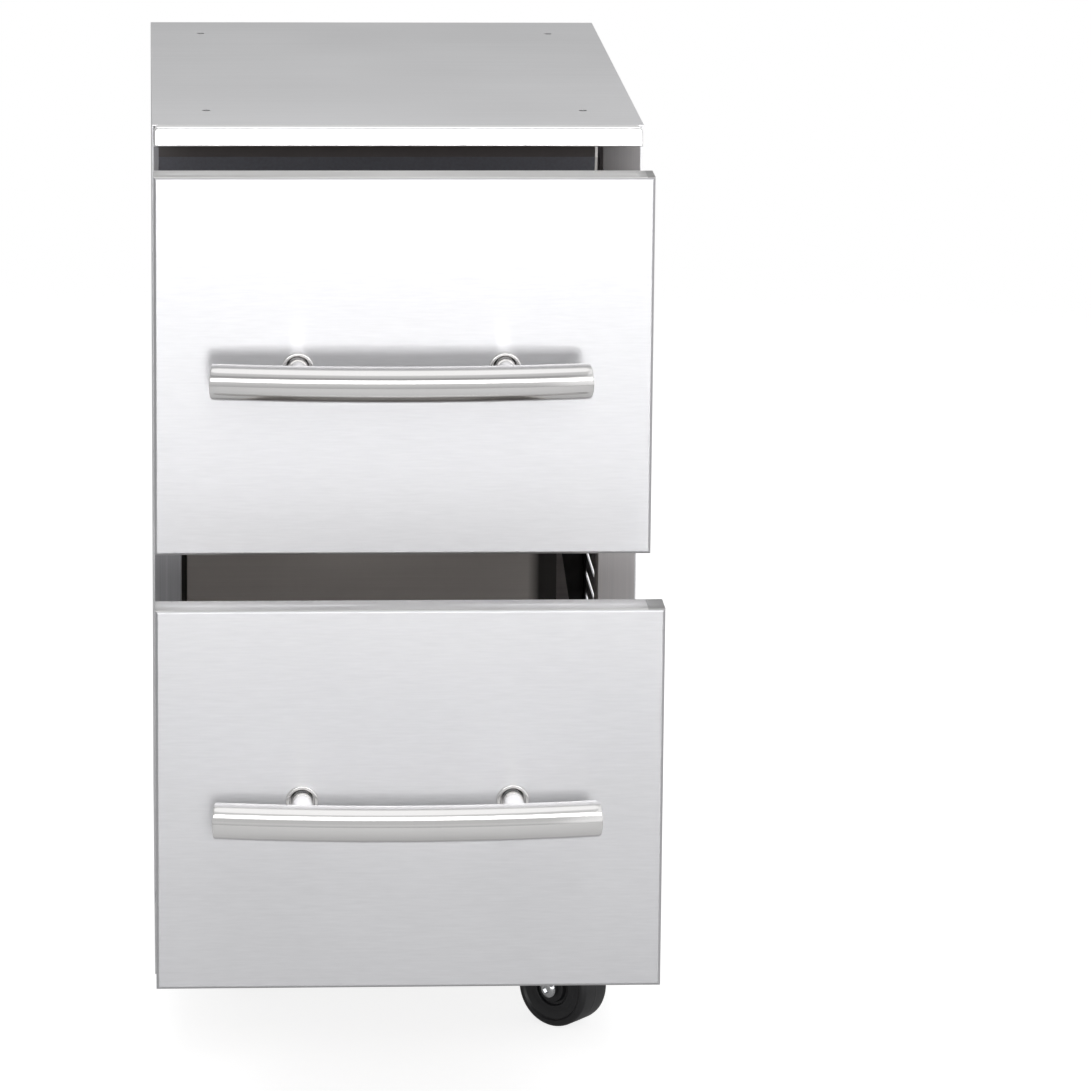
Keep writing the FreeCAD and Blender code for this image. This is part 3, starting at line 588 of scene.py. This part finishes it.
def socketScrew(place, along, radius=5.0, height=2.8, socket=2.3, depth=1.5, rim=0.9, land=0.5):
    # a button head: its rim, its dome, the land inside it and the hexagon socket are one outline
    # turned round the screw
    dome = np.linspace(0.0, 1.0, 6)
    crown = np.column_stack((radius - (radius - socket - land) * dome,
                             rim + (height - rim) * np.sin(dome * math.pi / 2)))
    outline = np.concatenate(([(0.0, 0.0), (radius, 0.0)], crown,
                              [(socket, height), (socket, height - depth), (0.0, height - depth)]))
    last = len(outline) - 1
    return turned(outline, place, along, 48, hexRows=(last - 2, last - 1))


for drawer in drawers:
    makeHandle(drawer)
print("handles made")


# Top rail: a rolled edge, whose face leans back a little and whose top corners are round

rail = {"corner": 4.0, "foot": 0.8, "fold": 1.5, "lean": 2.4, "least": 0.05, "most": 0.45, "slit": 0.01}


def makeRail():
    # rows of rounded rectangles, each one inside the last: the depth falls in a quarter circle over
    # the fold, the corners lose what the row is inset, and the face leans back with its height
    low, high = boxOf("top_rail")
    depth = high[1] - low[1]
    height = high[2] - low[2]
    turn = np.linspace(0.0, math.pi / 2, 8)
    insets = np.concatenate(([0.0], rail["fold"] * (1 - np.cos(turn)), [height / 2 - rail["slit"]]))
    depths = np.concatenate(([depth], rail["fold"] * (1 - np.sin(turn)), [0.0]))
    rows = []
    for inset, back in zip(insets, depths):
        most = (height - 2 * inset) * rail["most"]
        top = min(max(rail["corner"] - inset, rail["least"]), most)
        foot = min(max(rail["foot"] - inset, rail["least"]), most)
        ring = rounded(rectangle(low[0] + inset, low[2] + inset, high[0] - inset, high[2] - inset),
                       [foot, foot, top, top], 6)
        leaning = rail["lean"] * (ring[:, 1] - low[2]) / height * (1 - back / depth)
        rows.append(np.column_stack((ring[:, 0], low[1] + back + leaning, ring[:, 1])))
    makePiece("rolled_rail", [grid(np.array(rows), closedColumns=True), lid(rows[0]), lid(rows[-1])],
              "cabinet", "polishedRail", ("top_rail",), 30.0)


makeRail()
print("rail made")


# Ball slides: three roll-formed members with lips round the balls, and screws into the box side

slide = {"sheet": 1.2, "lip": 2.4, "fold": 1.5, "ballRadius": 1.6, "ballPitch": 11.0, "ballsInARow": 11,
         "cageSheet": 0.6, "cageWidth": 4.6, "cageCorner": 0.2, "screw": (3.4, 1.6, 1.5, 0.9),
         "screwSpread": 380.0, "screws": 4}


def memberOutline(web, mouth, half, side):
    # the middle line of a C section: lip, flange, web, flange, lip, with round folds
    sheet = slide["sheet"]
    inward = 1.0 if mouth > web else -1.0
    webLine = web + inward * sheet / 2
    mouthLine = mouth - inward * sheet / 2
    flange = half - sheet / 2
    lip = flange - slide["lip"]
    line = rounded([(mouthLine, lip), (mouthLine, flange), (webLine, flange), (webLine, -flange),
                    (mouthLine, -flange), (mouthLine, -lip)], slide["fold"], 4, closed=False)
    return sheetOutline(line, sheet) * np.array((side, 1.0))


def ballRows(x, level, middleY, centreZ):
    # balls as small globes in two straight rows, above and below the middle of the slide
    latitude = np.linspace(0.0, math.pi, 7)
    globe = np.column_stack((np.sin(latitude), -np.cos(latitude))) * slide["ballRadius"]
    first = middleY - slide["ballPitch"] * (slide["ballsInARow"] - 1) / 2
    shells = []
    for z in (centreZ - level, centreZ + level):
        for number in range(slide["ballsInARow"]):
            shells.append(turned(globe, (x, first + number * slide["ballPitch"], z), upZ, 10))
    return shells


def cageStrips(x, level, middleY, centreZ):  # the strips that keep the balls apart
    half = slide["ballPitch"] * slide["ballsInARow"] / 2
    wide, thick = slide["cageWidth"] / 2, slide["cageSheet"] / 2
    strip = rounded(rectangle(-wide, -thick, wide, thick), slide["cageCorner"], 2)
    shells = []
    for z in (centreZ - level, centreZ + level):
        shells += drawnOut(strip, (x, middleY - half, z), (x, middleY + half, z), acrossX, upZ)
    return shells


def makeSlide(drawer, sideName):
    side = 1.0 if sideName == "right" else -1.0
    names = {member: drawer + "_slide_" + member + "_" + sideName for member in ("outer", "middle", "inner")}
    boxes = {member: boxOf(node) for member, node in names.items()}
    spans = {member: sorted(abs(corner[0]) for corner in box) for member, box in boxes.items()}
    centreZ = sum(corner[2] for corner in boxes["outer"]) / 2
    halves = {member: (boxes[member][1][2] - boxes[member][0][2]) / 2 for member in ("outer", "inner")}
    halves["middle"] = (halves["outer"] + halves["inner"]) / 2
    webs = {"outer": spans["outer"][::-1], "middle": spans["middle"][::-1], "inner": spans["inner"]}
    bodies = {"outer": "cabinet", "middle": drawer + "_middle_" + sideName, "inner": drawer + "_drawer"}
    for member, node in names.items():
        web, mouth = webs[member]
        outline = memberOutline(web, mouth, halves[member], side)
        startY, endY = boxes[member][0][1], boxes[member][1][1]
        shells = drawnOut(outline, (0.0, startY, centreZ), (0.0, endY, centreZ), acrossX, upZ)
        middleY = (startY + endY) / 2
        if member == "middle":
            outerLevel = (halves["outer"] + halves["middle"] - slide["sheet"]) / 2
            innerLevel = (halves["middle"] + halves["inner"] - slide["sheet"]) / 2
            ballX = side * (spans["outer"][0] + spans["outer"][1] - slide["sheet"]) / 2
            for level in (outerLevel, innerLevel):
                shells += ballRows(ballX, level, middleY, centreZ)
                shells += cageStrips(ballX, level, middleY, centreZ)
        if member == "inner":
            webFace = side * (web + slide["sheet"])
            for number in range(slide["screws"]):
                y = middleY + slide["screwSpread"] * (number / (slide["screws"] - 1) - 0.5)
                shells.append(socketScrew((webFace, y, centreZ), (side, 0, 0), *slide["screw"]))
        track = drawer + "_track_" + member + "_" + sideName
        makePiece(track, shells, bodies[member], "slideZinc", (node,), 40.0)


for drawer in drawers:
    for sideName in ("left", "right"):
        makeSlide(drawer, sideName)
print("slides made")


# Casters: pressed plate and cup, yoke of bent sheet, moulded wheel and axle bolt

caster = {"plate": 60.0, "plateCorner": 6.0, "boltSpacing": 44.0, "sheet": 2.5, "gap": 38.0,
          "trail": 24.0, "axle": 33.0, "top": 74.5, "shoulder": 6.0, "back": -12.0, "front": 24.0,
          "heel": 60.0, "legEnd": 7.0, "softEdge": 0.4, "discRadius": 21.0, "discFlat": 18.5,
          "discEdge": 73.4, "discFoot": 72.0, "discBore": 5.05, "axleHead": (6.4, 2.5, 3.2, 2.0),
          "axleRadius": 3.9, "axleSunk": 0.5}
cup = {"radius": 22.0, "flat": 20.0, "neck": 19.5, "foot": 74.9, "lowEdge": 76.6, "highEdge": 79.0}
kingpin = {"radius": 5.0, "head": 8.0, "headHeight": 3.0, "top": 75.5}
plateBolt = {"corner": 5.8, "washer": 6.4, "washerHeight": 0.7, "face": 4.6, "chamfer": 0.5,
             "shank": 3.1, "tip": 2.7, "tipHeight": 0.4, "pastNut": 1.0, "floorSheet": 1.2}
axleNut = {"corner": 6.4, "washer": 6.9, "washerHeight": 0.6, "face": 5.2, "chamfer": 0.5,
           "thread": 4.0, "height": 4.0}
wheel = {"half": 17.5, "bore": 4.05, "boss": 11.6, "grooveInner": 12.2, "grooveOuter": 14.6,
         "grooveDepth": 4.5, "dishInner": 15.4, "dishMiddle": 20.5, "dishOuter": 26.2, "dishEdge": 1.7,
         "dishDepth": 2.3, "rim": 27.8, "shoulder": 4.2, "ridge": 0.1, "ridgeHalf": 1.2, "ridgeTop": 0.6}


def jointPlaces(start):  # where the joints of one kind are, in millimetres, by their corner's name
    found = [joint for joint in frame["joints"] if joint["name"].startswith(start)]
    return {joint["name"][len(start):]: np.array(joint["pos_m"]) / mm for joint in found}


swivels = jointPlaces("swivel_")
rolls = jointPlaces("roll_")


def cupOutline(plateFoot):
    radius, flat, foot = cup["radius"], cup["flat"], cup["foot"]
    return rounded([(0.0, foot), (flat, foot), (radius, cup["lowEdge"]), (radius, cup["highEdge"]),
                    (cup["neck"], plateFoot), (0.0, plateFoot)], [0.0, 1.0, 1.2, 1.5, 1.0, 0.0], 4)


def kingpinOutline(foot):
    radius, head, top = kingpin["radius"], kingpin["head"], kingpin["top"]
    headTop = foot + kingpin["headHeight"]
    return rounded([(0.0, foot), (head, foot), (head, headTop), (radius, headTop), (radius, top),
                    (0.0, top)], [0.0, 1.6, 0.3, 0.0, 0.0, 0.0], 4)


def makeCasterPlates():
    plates, bolts = [], []
    low, high = boxOf("caster_plates")
    plateTop = high[2]
    plateFoot = plateTop - caster["sheet"]
    boltLow, boltHigh = boxOf("caster_bolts")
    nutFoot = plateTop + plateBolt["floorSheet"]
    half = caster["plate"] / 2
    square = rounded(rectangle(-half, -half, half, half), caster["plateCorner"], 6)
    for swivel in swivels.values():
        x, y = swivel[:2]
        plates += drawnOut(square, (x, y, plateFoot), (x, y, plateTop), acrossX, alongY)
        plates.append(turned(cupOutline(plateFoot), (x, y, 0.0), upZ, 64))
        plates.append(turned(kingpinOutline(low[2]), (x, y, 0.0), upZ, 40))
        for sideX in (-0.5, 0.5):
            for sideY in (-0.5, 0.5):
                place = (x + sideX * caster["boltSpacing"], y + sideY * caster["boltSpacing"], 0.0)
                bolts += hexBolt(place, boltLow[2], plateFoot, nutFoot, boltHigh[2])
    makePiece("swivel_plates", plates, "cabinet", "zincPlate", ("caster_plates",))
    makePiece("plate_bolts", bolts, "cabinet", "zincPlate", ("caster_bolts",))


def hexBolt(place, headFoot, headTop, nutFoot, end):
    # two outlines with hexagon rows: the head under the plate, and the nut with the shank's end above it
    corner, face, chamfer = plateBolt["corner"], plateBolt["face"], plateBolt["chamfer"]
    washer, thick = plateBolt["washer"], plateBolt["washerHeight"]
    shank, nutTop = plateBolt["shank"], end - plateBolt["pastNut"]
    head = [(0.0, headFoot), (face, headFoot), (corner, headFoot + chamfer), (corner, headTop - thick),
            (washer, headTop - thick), (washer, headTop), (0.0, headTop)]
    nut = [(washer, nutFoot), (washer, nutFoot + thick), (corner, nutFoot + thick),
           (corner, nutTop - chamfer), (face, nutTop), (shank, nutTop),
           (shank, end - plateBolt["tipHeight"]), (plateBolt["tip"], end), (0.0, end)]
    return [turned(outline, place, upZ, 24, hexRows=(2, 3)) for outline in (head, nut)]


def turnedRound(shells, corner):  # shells drawn with the swivel line at zero, put in their caster's place
    level = np.array((1.0, 1.0, 0.0))
    forward = lengthOne((rolls[corner] - swivels[corner]) * level)
    sideways = np.array((-forward[1], forward[0], 0.0))
    origin = swivels[corner] * level
    turn = np.array((forward, sideways, upZ))
    return [(origin + places @ turn, faces) for places, faces in shells]


def yoke():
    # a bent sheet: one parameter runs up one cheek, over the top and down the other, and the second
    # runs from the back edge to the front edge, which both lean towards the axle and meet in a half circle
    axle, foot = caster["axle"], caster["legEnd"]
    half = caster["gap"] / 2 + caster["sheet"] / 2
    top = caster["top"] - caster["sheet"] / 2
    shoulder = caster["shoulder"]
    below = axle - foot * np.cos(np.linspace(0.0, math.pi / 2, 9))
    rise = np.linspace(axle, top - shoulder, 14)[1:]
    leg = np.concatenate((below, rise))
    turn = np.linspace(0.0, math.pi / 2, 7)[1:]
    bend = np.column_stack((half - shoulder * (1 - np.cos(turn)), top - shoulder * (1 - np.sin(turn))))
    side = np.concatenate((np.column_stack((np.full(len(leg), half), leg)), bend))
    line = np.concatenate((side, [(0.0, top)], side[::-1] * np.array((-1.0, 1.0))))
    height = line[:, 1]
    tip = np.sqrt(np.clip(foot ** 2 - np.clip(axle - height, 0.0, foot) ** 2, 0.0, None))
    rising = np.clip((height - axle) / (caster["top"] - axle), 0.0, 1.0)
    heel = np.clip((height - axle) / (caster["heel"] - axle), 0.0, 1.0)
    heel = heel * heel * (3 - 2 * heel)
    frontEdge = caster["trail"] + tip + (caster["front"] - caster["trail"] - foot) * rising
    backEdge = caster["trail"] - tip + (caster["back"] - caster["trail"] + foot) * heel
    part = np.linspace(0.0, 1.0, 11)
    x = backEdge[:, None] + (frontEdge - backEdge)[:, None] * part
    y = np.repeat(line[:, :1], len(part), axis=1)
    z = np.repeat(line[:, 1:], len(part), axis=1)
    return grid(np.stack((x, y, z), axis=-1))


def discShell():
    bore, foot, top = caster["discBore"], caster["discFoot"], caster["top"]
    outline = rounded([(bore, foot), (bore, top), (caster["discFlat"], top),
                       (caster["discRadius"], caster["discEdge"]), (caster["discRadius"], foot)],
                      [0.0, 0.4, 1.0, 0.5, 0.3], 3)
    return turned(outline, (0, 0, 0), upZ, 56, closed=True)


def axleShells():  # the head on one cheek, the nut on the other and the shank between them
    half = caster["gap"] / 2 + caster["sheet"]
    trail, axle = caster["trail"], caster["axle"]
    washer, thick, corner = axleNut["washer"], axleNut["washerHeight"], axleNut["corner"]
    top = half + axleNut["height"]
    nut = [(0.0, half), (washer, half), (washer, half + thick), (corner, half + thick),
           (corner, top - axleNut["chamfer"]), (axleNut["face"], top), (axleNut["thread"], top), (0.0, top)]
    radius, sunk = caster["axleRadius"], caster["axleSunk"]
    shank = [(radius, -half - sunk), (radius, half + sunk)]
    return [socketScrew((trail, -half, axle), (0, -1, 0), *caster["axleHead"]),
            turned(nut, (trail, 0.0, axle), alongY, 48, hexRows=(3, 4)),
            turned(shank, (trail, 0.0, axle), alongY, 32)]


def forkPiece(name, shells, corner, node, sharpAngle=32.0):
    return makePiece(name + corner, turnedRound(shells, corner), "fork_" + corner, "zincPlate",
                     (node + corner,), sharpAngle)


def makeFork(corner):
    bent = forkPiece("yoke_", [yoke()], corner, "caster_fork_", 50.0)
    wall = bent.modifiers.new("wall", "SOLIDIFY")
    wall.thickness = caster["sheet"] * mm
    wall.offset = 0.0
    soft = bent.modifiers.new("soft", "BEVEL")
    soft.width = caster["softEdge"] * mm
    soft.segments = 2
    forkPiece("race_", [discShell()], corner, "caster_fork_", 40.0)
    forkPiece("axle_bolt_", axleShells(), corner, "caster_axle_")


def wheelOutline():
    # one half of the section, from the bore over the hub boss, the groove, the dished face and the rim
    # to the shoulder and the moulding ridge, and then its mirror image
    half, bore, tread = wheel["half"], wheel["bore"], caster["axle"]
    grooveFloor = half - wheel["grooveDepth"]
    dishEdge = half - wheel["dishEdge"]
    beside = tread - wheel["ridge"]
    section = rounded([(bore, 0.0), (bore, half), (wheel["boss"], half), (wheel["grooveInner"], grooveFloor),
                       (wheel["grooveOuter"], grooveFloor), (wheel["dishInner"], dishEdge),
                       (wheel["dishMiddle"], half - wheel["dishDepth"]), (wheel["dishOuter"], dishEdge),
                       (wheel["rim"], half), (beside, half), (beside, wheel["ridgeHalf"]),
                       (tread, wheel["ridgeTop"]), (tread, 0.0)],
                      [0.0, 0.4, 0.6, 0.5, 0.5, 0.6, 6.0, 0.8, 0.6, wheel["shoulder"], 0.2, 0.2, 0.0], 5,
                      closed=False)
    mirror = section[::-1] * np.array((1.0, -1.0))
    return np.concatenate((section, mirror[1:-1]))


def makeWheel(corner):
    shells = [turned(wheelOutline(), (caster["trail"], 0.0, caster["axle"]), alongY, 96, closed=True)]
    name = "wheel_" + corner
    makePiece(name, turnedRound(shells, corner), name, "casterBlack",
              ("caster_" + name,), 40.0)


makeCasterPlates()
for corner in swivels:
    makeFork(corner)
    makeWheel(corner)
print("casters made")


# Rivets with a hollow in the head, and rubber pads behind the fronts

rivets = {"headRadius": 4.0, "headHeight": 1.2, "domeShare": 0.96, "shankRadius": 2.0, "hollow": 1.1,
          "pitShare": 0.8, "pitFloor": 0.5, "flushHeights": (-1.0, -0.4, -0.05, -0.02), "levels": 5,
          "lowest": 134.0, "highest": 700.0, "fromBack": 10.0,
          "bracketInset": 7.0, "bracketSpread": 40.0, "bracketRise": 80.0, "bracketDepth": 40.0}
pads = {"radius": 5.0, "height": 1.2, "lowInset": 18.0, "highInset": 224.0}


def rivetPlaces():
    back = boxOf("back_panel")[1][1] - rivets["fromBack"]
    places = [(back, z) for z in np.linspace(rivets["lowest"], rivets["highest"], rivets["levels"])]
    low, high = boxOf("slide_brackets")
    rears = np.array((low[1], high[1] - rivets["bracketDepth"])) + rivets["bracketInset"]
    for drawer in drawers:
        middle = boxOf(drawer + "_front_skin")[0][2] + rivets["bracketRise"]
        for y in rears:
            for side in (-0.5, 0.5):
                places.append((y, middle + side * rivets["bracketSpread"]))
    return places


def makeRivets():
    # the domed head is an arc of radius over height, with a pit where the mandrel broke off; the flush
    # one lies just under the sheet's face
    side = boxOf("side_panel_right")[1][0]
    radius, pit, shank = (rivets[key] for key in ("headRadius", "hollow", "shankRadius"))
    pitFoot, floor = pit * rivets["pitShare"], rivets["pitFloor"]
    part = np.linspace(0.0, 1.0, 8)
    arc = np.sqrt(1 - (1 - part) ** 2 * rivets["domeShare"])
    dome = np.column_stack((radius - (radius - pit) * part, rivets["headHeight"] * arc))
    head = np.concatenate(([(0.0, 0.0), (radius, 0.0)], dome, [(pitFoot, floor), (0.0, floor)]))
    end, sunk, edge, face = rivets["flushHeights"]
    flush = [(0.0, sunk), (pitFoot, sunk), (pit, edge), (shank, face), (shank, end), (0.0, end)]
    shells = []
    for y, z in rivetPlaces():
        shells.append(turned(head, (side, y, z), acrossX, 24))
        shells.append(turned(flush, (-side, y, z), (-1, 0, 0), 20))
    makePiece("domed_rivets", shells, "cabinet", "rivetSteel", ("cabinet_rivets",), 40.0)


def makePads():
    radius, height = pads["radius"], pads["height"]
    low, high = boxOf("front_bumpers")
    outline = rounded(rectangle(0.0, 0.0, radius, height), [0.0, 0.1, 0.9, 0.0], 5)
    shells = []
    for drawer in drawers:
        foot = boxOf(drawer + "_front_skin")[0][2]
        for z in (foot + pads["lowInset"], foot + pads["highInset"]):
            for x in (low[0] + radius, high[0] - radius):
                shells.append(turned(outline, (x, high[1], z), (0, -1, 0), 28))
    makePiece("rubber_pads", shells, "cabinet", "bumperRubber", ("front_bumpers",), 40.0)


makeRivets()
makePads()
print("rivets and pads made")


# Box corners: folded tabs that screw each box side to the liner and to the back

tabs = {"width": 13.0, "sheet": 1.0, "height": 118.0, "corner": 3.0, "rise": 26.0, "screwSpread": 78.0,
        "screwInset": 0.55, "screw": (3.2, 1.6, 1.4, 0.9)}


def makeTabs(drawer):
    sideLow, sideHigh = boxOf(drawer + "_box_side_right")
    sheet, wide, tall, corner = (tabs[key] for key in ("sheet", "width", "height", "corner"))
    inner = sideHigh[0] - sheet
    outline = rounded(rectangle(0.0, 0.0, wide, tall), [0.0, corner, corner, 0.0], 5)
    foot = sideLow[2] + tabs["rise"]
    plates, screws = [], []
    for side in (-1.0, 1.0):
        for y, out in ((sideLow[1], 1.0), (sideHigh[1] - sheet, -1.0)):
            face = y + out * sheet
            plates += drawnOut(outline * np.array((-side, 1.0)), (side * inner, y, foot),
                               (side * inner, face, foot), acrossX, upZ)
            for step in (-0.5, 0.5):
                x = side * (inner - wide * tabs["screwInset"])
                z = foot + tall / 2 + step * tabs["screwSpread"]
                screws.append(socketScrew((x, face, z), (0, out, 0), *tabs["screw"]))
    makePiece(drawer + "_box_tabs", plates, drawer + "_drawer", "innerSteel")
    makePiece(drawer + "_box_screws", screws, drawer + "_drawer", "zincPlate")


for drawer in drawers:
    makeTabs(drawer)
print("box tabs made")


# Room: a pale floor that fades into a white surround, and soft lamps

room = {"floorReach": 4.0, "floorColour": (0.44, 0.44, 0.44), "floorSpeckle": 0.985, "floorLift": 0.82,
        "floorGloss": 0.16, "clearFrom": 2.2, "clearTo": 3.4, "middle": (0.0, 0.0, 0.0), "fill": 0.55,
        "rightFrom": 0.35, "rightLift": 0.32,
        "gloss": [(-90.0, 0.48), (-3.0, 0.48), (2.0, 0.58), (10.0, 0.58), (13.0, 0.52), (38.0, 0.52),
                  (42.0, 0.32), (50.0, 0.32), (54.0, 0.55), (68.0, 0.60), (72.0, 1.0), (90.0, 1.0)]}

handlePieces = ("_bar", "_posts", "_rosettes")
lamps = {
    "overhead": {"place": (0.0, 0.66, 1.85), "aim": (0.0, 0.5, 0.3), "size": (1.8, 1.6), "power": 12.0,
                 "keptOff": handlePieces},
    "near": {"place": (0.05, -1.07, 0.945), "aim": (0.05, -0.35, 0.0), "size": (1.5, 0.34), "power": 2.6},
    "low": {"place": (0.05, -2.2, 0.59), "aim": (0.05, 0.0, 0.59), "size": (1.6, 0.28), "power": 10.8,
            "keptOff": handlePieces},
    "inside": {"place": (0.0, -1.2, 1.0), "aim": (0.0, 0.46, 0.25), "size": (0.8, 0.6), "power": 3.0,
               "onlyOn": ("back_panel", "bottom_panel", "slide_brackets")},
    "edge": {"place": (0.05, -2.2, 0.98), "aim": (0.05, 0.0, 0.74), "size": (1.6, 0.5), "power": 14.0,
             "onlyOn": ("rolled_rail",)},
}


def makeFloor():
    reach = room["floorReach"]
    mesh = bpy.data.meshes.new("floor")
    corners = [(x, y, 0.0) for x, y in rectangle(-reach, -reach, reach, reach)]
    mesh.from_pydata(corners, [], [(0, 1, 2, 3)])
    floor = inScene("floor", mesh)
    material, paint = newMaterial("floorPale")
    speckle = paint.noise(paint.place(), 3.0, 4.0, 0.6)
    pale = room["floorColour"]
    colour = paint.blend(speckle, rgba([shade * room["floorSpeckle"] for shade in pale]), rgba(pale))
    rays = paint.node("ShaderNodeLightPath", {}, {}, "Is Camera Ray")
    seen = (rays + rays.other("Is Transmission Ray")) * room["floorLift"]
    seen = seen + rays.other("Is Glossy Ray") * room["floorGloss"]
    matt = paint.node("ShaderNodeBsdfDiffuse", {}, {"Color": colour})
    lift = paint.node("ShaderNodeEmission", {}, {"Color": white, "Strength": seen})
    ground = paint.node("ShaderNodeAddShader", {}, {0: matt, 1: lift})
    clear = paint.node("ShaderNodeBsdfTransparent", {}, {})
    fromMiddle = paint.node("ShaderNodeVectorMath", {"operation": "DISTANCE"},
                            {0: paint.place(), 1: room["middle"]}, "Value")
    fade = paint.node("ShaderNodeMapRange", {"interpolation_type": "SMOOTHSTEP"},
                      {"Value": fromMiddle, "From Min": room["clearFrom"], "From Max": room["clearTo"]})
    shown = paint.node("ShaderNodeMixShader", {}, {0: fade, 1: ground, 2: clear})
    paint.node("ShaderNodeOutputMaterial", {}, {"Surface": shown})
    mesh.materials.append(material)


def makeWorld():
    # white to the eye; mirrors see a grey ground, a paler horizon, a dark band high up, white right
    # overhead, and all of it paler on the right
    world = bpy.data.worlds.new("studio")
    world.use_nodes = True
    bpy.context.scene.world = world
    paint = Paint(world.node_tree)
    rays = paint.node("ShaderNodeLightPath", {}, {}, "Is Camera Ray")
    eye = rays + rays.other("Is Transmission Ray")
    gloss = rays.other("Is Glossy Ray")
    across, ahead, height = paint.axes(paint.node("ShaderNodeTexCoord", {}, {}, "Generated"))
    stops = [(0.5 + 0.5 * math.sin(math.radians(degrees)), shade) for degrees, shade in room["gloss"]]
    shade = paint.ramp(height * 0.5 + 0.5, stops) + (across > room["rightFrom"]) * room["rightLift"]
    strength = eye + (1 - eye) * (gloss * shade + (1 - gloss) * room["fill"])
    strength = strength.maths("MINIMUM", strength, 1.0)
    sky = paint.node("ShaderNodeBackground", {}, {"Color": white, "Strength": strength})
    paint.node("ShaderNodeOutputWorld", {}, {"Surface": sky})


def listPieces(name, endings):  # the pieces whose names end in certain words
    listed = bpy.data.collections.new(name)
    for piece in bpy.data.objects:
        if piece.name.endswith(endings):
            listed.objects.link(piece)
    return listed


def makeLamp(name, look):
    lamp = bpy.data.lights.new(name, "AREA")
    lamp.shape = "RECTANGLE"
    lamp.size, lamp.size_y = look["size"]
    lamp.energy = look["power"]
    holder = inScene(name, lamp)
    holder.location = look["place"]
    aim = Vector(look["aim"]) - Vector(look["place"])
    holder.rotation_euler = aim.to_track_quat("-Z", "Y").to_euler()
    holder.visible_camera = False
    if "keptOff" in look:
        listed = listPieces(name + "KeptOff", look["keptOff"])
        for entry in listed.collection_objects:
            entry.light_linking.link_state = "EXCLUDE"
        holder.light_linking.receiver_collection = listed
    if "onlyOn" in look:
        holder.light_linking.receiver_collection = listPieces(name + "OnlyOn", look["onlyOn"])
        holder.light_linking.blocker_collection = holder.light_linking.receiver_collection


# Camera: long lens, a little to the left and above, turned as in the photograph

view = {"place": (-0.2021, -5.0184, 1.5093), "down": 12.581, "right": 3.744, "roll": 0.590, "lens": 208.4,
        "sensor": 36.0, "farthest": 100.0}


def makeCamera():
    down, right, roll = (math.radians(view[key]) for key in ("down", "right", "roll"))
    ahead = Vector((math.sin(right) * math.cos(down), math.cos(right) * math.cos(down), -math.sin(down)))
    level = Vector((math.cos(right), -math.sin(right), 0.0))
    up = level.cross(ahead)
    across = level * math.cos(roll) + up * math.sin(roll)
    above = up * math.cos(roll) - level * math.sin(roll)
    facing = Matrix((across, above, -ahead)).transposed()
    camera = inScene("camera", bpy.data.cameras.new("camera"))
    camera.data.sensor_width = view["sensor"]
    camera.data.lens = view["lens"]
    camera.data.clip_end = view["farthest"]
    camera.matrix_world = Matrix.Translation(view["place"]) @ facing.to_4x4()
    bpy.context.scene.camera = camera


makeFloor()
makeWorld()
for name, look in lamps.items():
    makeLamp(name, look)
makeCamera()
bpy.context.scene.view_settings.view_transform = "Standard"
print("room, lamps and camera made")
